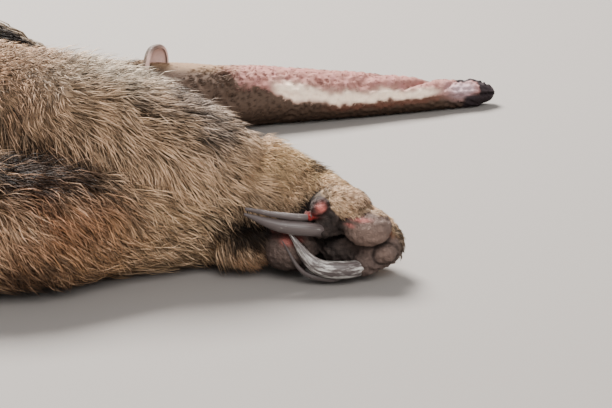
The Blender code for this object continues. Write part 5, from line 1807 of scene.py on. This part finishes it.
# Comb strokes of the near foreleg: x, height across the view, heading in degrees, length, lift
COMB_STROKES = (
    (0.382, 0.070, -50, 0.015, 0.22), (0.432, 0.060, -40, 0.018, 0.38), (0.473, 0.058, -25, 0.018, 0.42),
    (0.515, 0.037, -20, 0.017, 0.34), (0.565, 0.004, -35, 0.018, 0.28), (0.398, 0.029, -65, 0.020, 0.32),
    (0.448, 0.025, -22, 0.032, 0.30), (0.490, 0.012, -20, 0.035, 0.28), (0.532, -0.005, -35, 0.032, 0.24),
    (0.573, -0.025, -40, 0.026, 0.20), (0.607, -0.034, -35, 0.018, 0.18), (0.382, -0.005, -80, 0.038, 0.34),
    (0.423, -0.005, -60, 0.040, 0.32), (0.457, -0.013, -60, 0.040, 0.30), (0.482, -0.034, -75, 0.042, 0.28),
    (0.515, -0.038, -50, 0.038, 0.24), (0.544, -0.046, -50, 0.034, 0.22), (0.407, -0.046, -60, 0.036, 0.28),
    (0.382, -0.071, -50, 0.040, 0.26), (0.415, -0.080, -45, 0.042, 0.26), (0.448, -0.080, -40, 0.042, 0.24),
    (0.490, -0.075, -15, 0.036, 0.22), (0.523, -0.071, -10, 0.030, 0.22), (0.465, -0.100, -25, 0.036, 0.22),
    (0.415, -0.113, -55, 0.042, 0.24), (0.382, -0.121, -60, 0.044, 0.24), (0.507, -0.095, -25, 0.030, 0.20),
    (0.557, -0.092, -60, 0.020, 0.22), (0.600, -0.010, -25, 0.014, 0.16), (0.632, -0.025, -25, 0.011, 0.22),
    (0.657, -0.042, -40, 0.008, 0.22), (0.686, -0.071, -60, 0.007, 0.24), (0.640, -0.050, -40, 0.007, 0.22),
    (0.300, 0.050, -40, 0.030, 0.30), (0.300, -0.050, -50, 0.045, 0.28),
)
STROKE_REACH = 0.024


def combed(points):
    """Heading vector, length and lift at places: means of the strokes, weighted by bells round them."""
    flat = across_view(points)
    strokes = np.array(COMB_STROKES)
    offset = flat[:, None] - strokes[None, :, :2]
    weight = np.exp(-(offset ** 2).sum(axis=2) / STROKE_REACH ** 2) + 1e-9
    weight = weight / weight.sum(axis=1, keepdims=True)
    heading = np.radians(strokes[:, 2])
    run, rise = weight @ np.cos(heading), weight @ np.sin(heading)
    flow = np.column_stack((run, rise * math.sin(VIEW_TILT), rise * math.cos(VIEW_TILT)))
    return flow, weight @ strokes[:, 3], weight @ strokes[:, 4]


def towards_viewer(normals):
    """More roots where the skin faces the viewer or up, fewer behind and beneath."""
    facing = -normals[:, 1] * math.cos(VIEW_TILT) + normals[:, 2] * math.sin(VIEW_TILT)
    return 0.45 + 0.55 * step_up(facing, -0.35, 0.15)


def not_beneath(points, normals):
    """Few roots where the body rests on the floor."""
    return 0.15 + 0.85 * step_up(points[:, 2] + 0.02 * normals[:, 2], 0.004, 0.030)


def near_share(points, normals):
    """The roots of the near coat: most towards the viewer, few beneath."""
    return towards_viewer(normals) * not_beneath(points, normals)


# %% Lay the coat of the near foreleg
COAT_SCALE = 1.0
# Hair up to about the first length is frizzy, but not the shortest: it fades out between these two
FRIZZ_LENGTH = 0.020
FADE_LENGTHS = (0.009, 0.012)
NEAR_LOOKS = {"spread": 0.55, "pull": 0.65, "lock_spread": 0.30, "valley": 0.60, "dark_share": 0.22,
              "curl": 0.10, "droop": 0.04, "tip_pale": 1.0, "root_shade": 0.08}


def followed(roots, field, flow, length):
    """How a flow turns on the way to the tip: the field's flow at 0.6 of the length, less the first."""
    ahead = roots["place"] + flow * (length * 0.6)[:, None]
    return (laid_flat(field(ahead)[0], roots["normal"]) - flow) / 0.6


def near_coat(name, region, count, seed, chain, slot, width=0.00070, **looks):
    """Combed coat on a region of the near foreleg and hand."""
    roots = scatter(region, int(count * COAT_SCALE), seed, near_share, chain)
    rng = np.random.default_rng(seed + 1)
    flow, length, lift = combed(roots["place"])
    flow = laid_flat(flow, roots["normal"])
    turn = followed(roots, combed, flow, length)
    not_short = step_up(length, *FADE_LENGTHS)
    frizz = step_up(FRIZZ_LENGTH - length, -0.002, 0.004) * not_short
    top = step_up(roots["normal"][:, 2], 0.45, 0.90) * not_short
    flow = ruffled(roots, flow, rng, 0.20, 0.34, 0.28 + 0.45 * frizz)
    erect = lift * (1.0 + 0.6 * frizz + 1.5 * top)
    style = coat_style(roots, rng, flow, length, width, erect, turn, **{**NEAR_LOOKS, **looks})
    style["curl"] = style["curl"] * (1.0 + 2.0 * frizz)
    lay_coat(name, roots, style, slot, 3)


near_coat("foreleg_left", body_region("foreleg_left"), 39000, 101, CHAINS["foreleg_left"], "foreleg_coat")
near_coat("fringe_left", body_region("fringe_left"), 16500, 103, CHAINS["fringe_left"], "foreleg_coat")
print("foreleg tufts", HAIR_COUNTS)

# %% Lay the coat of head, neck, trunk and tail
AXIS_LENGTHS = (("nose_end", 0.0020), ("muzzle_tip", 0.0035), ("cheek", 0.0060), ("eye", 0.0080),
                ("ear", 0.012), ("neck", 0.032), ("throat", 0.046), ("shoulder", 0.058),
                ("chest", 0.070), ("middle", 0.090), ("loin", 0.115), ("pelvis", 0.150),
                ("tail_root", 0.190), ("tail_front", 0.230), ("tail_half", 0.250), ("tail_rear", 0.240),
                ("tail_tip", 0.190))
AXIS_WIDTHS = (("nose_end", 0.0005), ("eye", 0.0007), ("ear", 0.0010), ("neck", 0.0016), ("shoulder", 0.0030),
               ("middle", 0.0036), ("pelvis", 0.0042), ("tail_front", 0.0050), ("tail_tip", 0.0045))
AXIS_LOOKS = {"spread": 0.30, "tip_pale": 0.30, "root_shade": 0.35, "curl": 0.03, "droop": 0.10,
              "follow": 0.95}
FACE_ALONG = chain_place(FACE_MIDDLE, CHAINS["axis"])[0]


def axis_coat(name, first, last, count, seed, slot, long_rings=2, lift=0.14, share=not_beneath, **looks):
    """Coat between two stations: hair runs back along the body, from the back to the belly, and sags."""
    chain = CHAINS["axis"]
    between = (FACE_ALONG >= STATIONS[first]) & (FACE_ALONG < STATIONS[last])
    roots = scatter(body_region("axis") & between, int(count * COAT_SCALE), seed, share, chain)
    rng = np.random.default_rng(seed + 1)
    along = roots["along"]
    back = -np.cos(roots["angle"])
    to_belly = -np.sign(np.sin(roots["angle"]))[:, None] * roots["around"]
    tail = step_up(along, STATIONS["tail_root"], STATIONS["tail_front"])[:, None]
    outward = np.column_stack((np.zeros(len(along)), np.sign(roots["normal"][:, 1]), np.zeros(len(along))))
    drop = np.array((0.0, 0.0, -0.18))
    flow = roots["tangent"] + to_belly * 0.28 * (1.0 - tail) + outward * 0.42 * tail
    flow = flow + drop * (1.0 - 0.5 * tail)
    flow = ruffled(roots, laid_flat(flow, roots["normal"]), rng, 0.14, 0.10, 0.08)
    longer = 0.18 * back * step_up(along, STATIONS["neck"], STATIONS["chest"])
    length = by_station(along, AXIS_LENGTHS) * (1.0 + longer)
    width = by_station(along, AXIS_WIDTHS)
    style = coat_style(roots, rng, flow, length, width, lift, **{**AXIS_LOOKS, **looks})
    lay_coat(name, roots, style, slot, long_rings)


def on_dark_fur(points, normals):
    """Few roots where the markings are pale worn skin."""
    pale = step_up(markings(points)[0].mean(axis=1), 0.20, 0.30)
    return not_beneath(points, normals) * (1.0 - 0.95 * pale)


axis_coat("face", "nose", "ear", 9000, 111, "face_coat", lift=0.07, share=on_dark_fur, spread=0.09,
          tip_pale=0.0, root_shade=1.0, lock_spread=0.04, dark_share=0.0, valley=0.0, pull=0.08)
axis_coat("neck", "ear", "shoulder", 7000, 113, "body_coat", lift=0.36)
axis_coat("chest", "shoulder", "waist", 4000, 115, "body_coat")
axis_coat("trunk", "waist", "loin", 6500, 117, "body_coat")
axis_coat("rump", "loin", "tail_root", 5000, 119, "body_coat")
axis_coat("tail", "tail_root", "tail_tip", 7500, 121, "tail_coat", long_rings=3, lift=0.06)
print("axis tufts", sum(HAIR_COUNTS.values()))

# %% Lay the coat of the other legs
LEG_MARKS = (0.0, 0.35, 0.7, 0.85, 1.0)
LEG_LOOKS = {"droop": 0.06, "spread": 0.40, "root_shade": 0.20, "valley": 0.50, "tip_pale": 0.4}


def leg_coat(chain_name, count, seed, slot, lengths, width):
    """Coat of a leg: hair runs down the leg and sags, longest on the thigh or upper arm."""
    chain = CHAINS[chain_name]
    total = chain["marks"][-1]
    roots = scatter(body_region(chain_name), int(count * COAT_SCALE), seed, not_beneath, chain)
    rng = np.random.default_rng(seed + 1)
    share = roots["along"] / total
    flow = roots["tangent"] + np.array((-0.15, 0.0, -0.35))
    flow = ruffled(roots, laid_flat(flow, roots["normal"]), rng)
    length = np.interp(share, LEG_MARKS, lengths)
    widths = np.interp(share, (0.0, 1.0), (width, width * 0.5))
    style = coat_style(roots, rng, flow, length, widths, 0.16, **LEG_LOOKS)
    lay_coat(chain_name, roots, style, slot)


leg_coat("foreleg_right", 6000, 131, "foreleg_coat", (0.055, 0.045, 0.034, 0.024, 0.012), 0.0026)
leg_coat("hindleg_left", 4500, 133, "hindleg_coat", (0.070, 0.050, 0.026, 0.014, 0.008), 0.0028)
leg_coat("hindleg_right", 6000, 135, "hindleg_coat", (0.075, 0.055, 0.030, 0.016, 0.008), 0.0028)

# %% [markdown]
# ## Short fur of the hands
# The back of the hand and the outer sides of the digits carry short close hair right up to the pads,
# with a darker fringe where fur meets bare skin.

# %% Lay the short fur of the hands


def palm_chain(side):
    """The palm's rows of one hand as a chain; a mirrored chain's ovals stay as they are."""
    rows = np.array(PALM_ROWS)
    places = hand_places(rows[:, :3], side)
    return make_chain(np.column_stack((places, rows[:, 3:5], np.zeros((len(rows), 2)))))


def far_hand_coat(count, seed):
    """Short tufts on the back of the far hand, along its digits."""
    region = FACE_HAND["right"] & FACE_FURRED
    roots = scatter(region, int(count * COAT_SCALE), seed, not_beneath, palm_chain("right"))
    rng = np.random.default_rng(seed + 1)
    flow = ruffled(roots, laid_flat(roots["tangent"], roots["normal"]), rng, 0.25, 0.3, 0.3)
    length = 0.013 - 0.006 * step_up(roots["along"], 0.02, 0.12)
    style = coat_style(roots, rng, flow, length, 0.0011, 0.25, curl=0.12, spread=0.40, tip_pale=0.5)
    lay_coat("hand_right", roots, style, "foreleg_coat")


near_coat("hand_left", FACE_HAND["left"] & FACE_FURRED, 12000, 141, palm_chain("left"), "foreleg_coat",
          0.0006, pull=0.30, lock_spread=0.12, valley=0.15, spread=0.36, dark_share=0.15)
far_hand_coat(4500, 151)
print("coat triangles", sum(HAIR_COUNTS.values()), "pieces", len(HAIR_COUNTS))
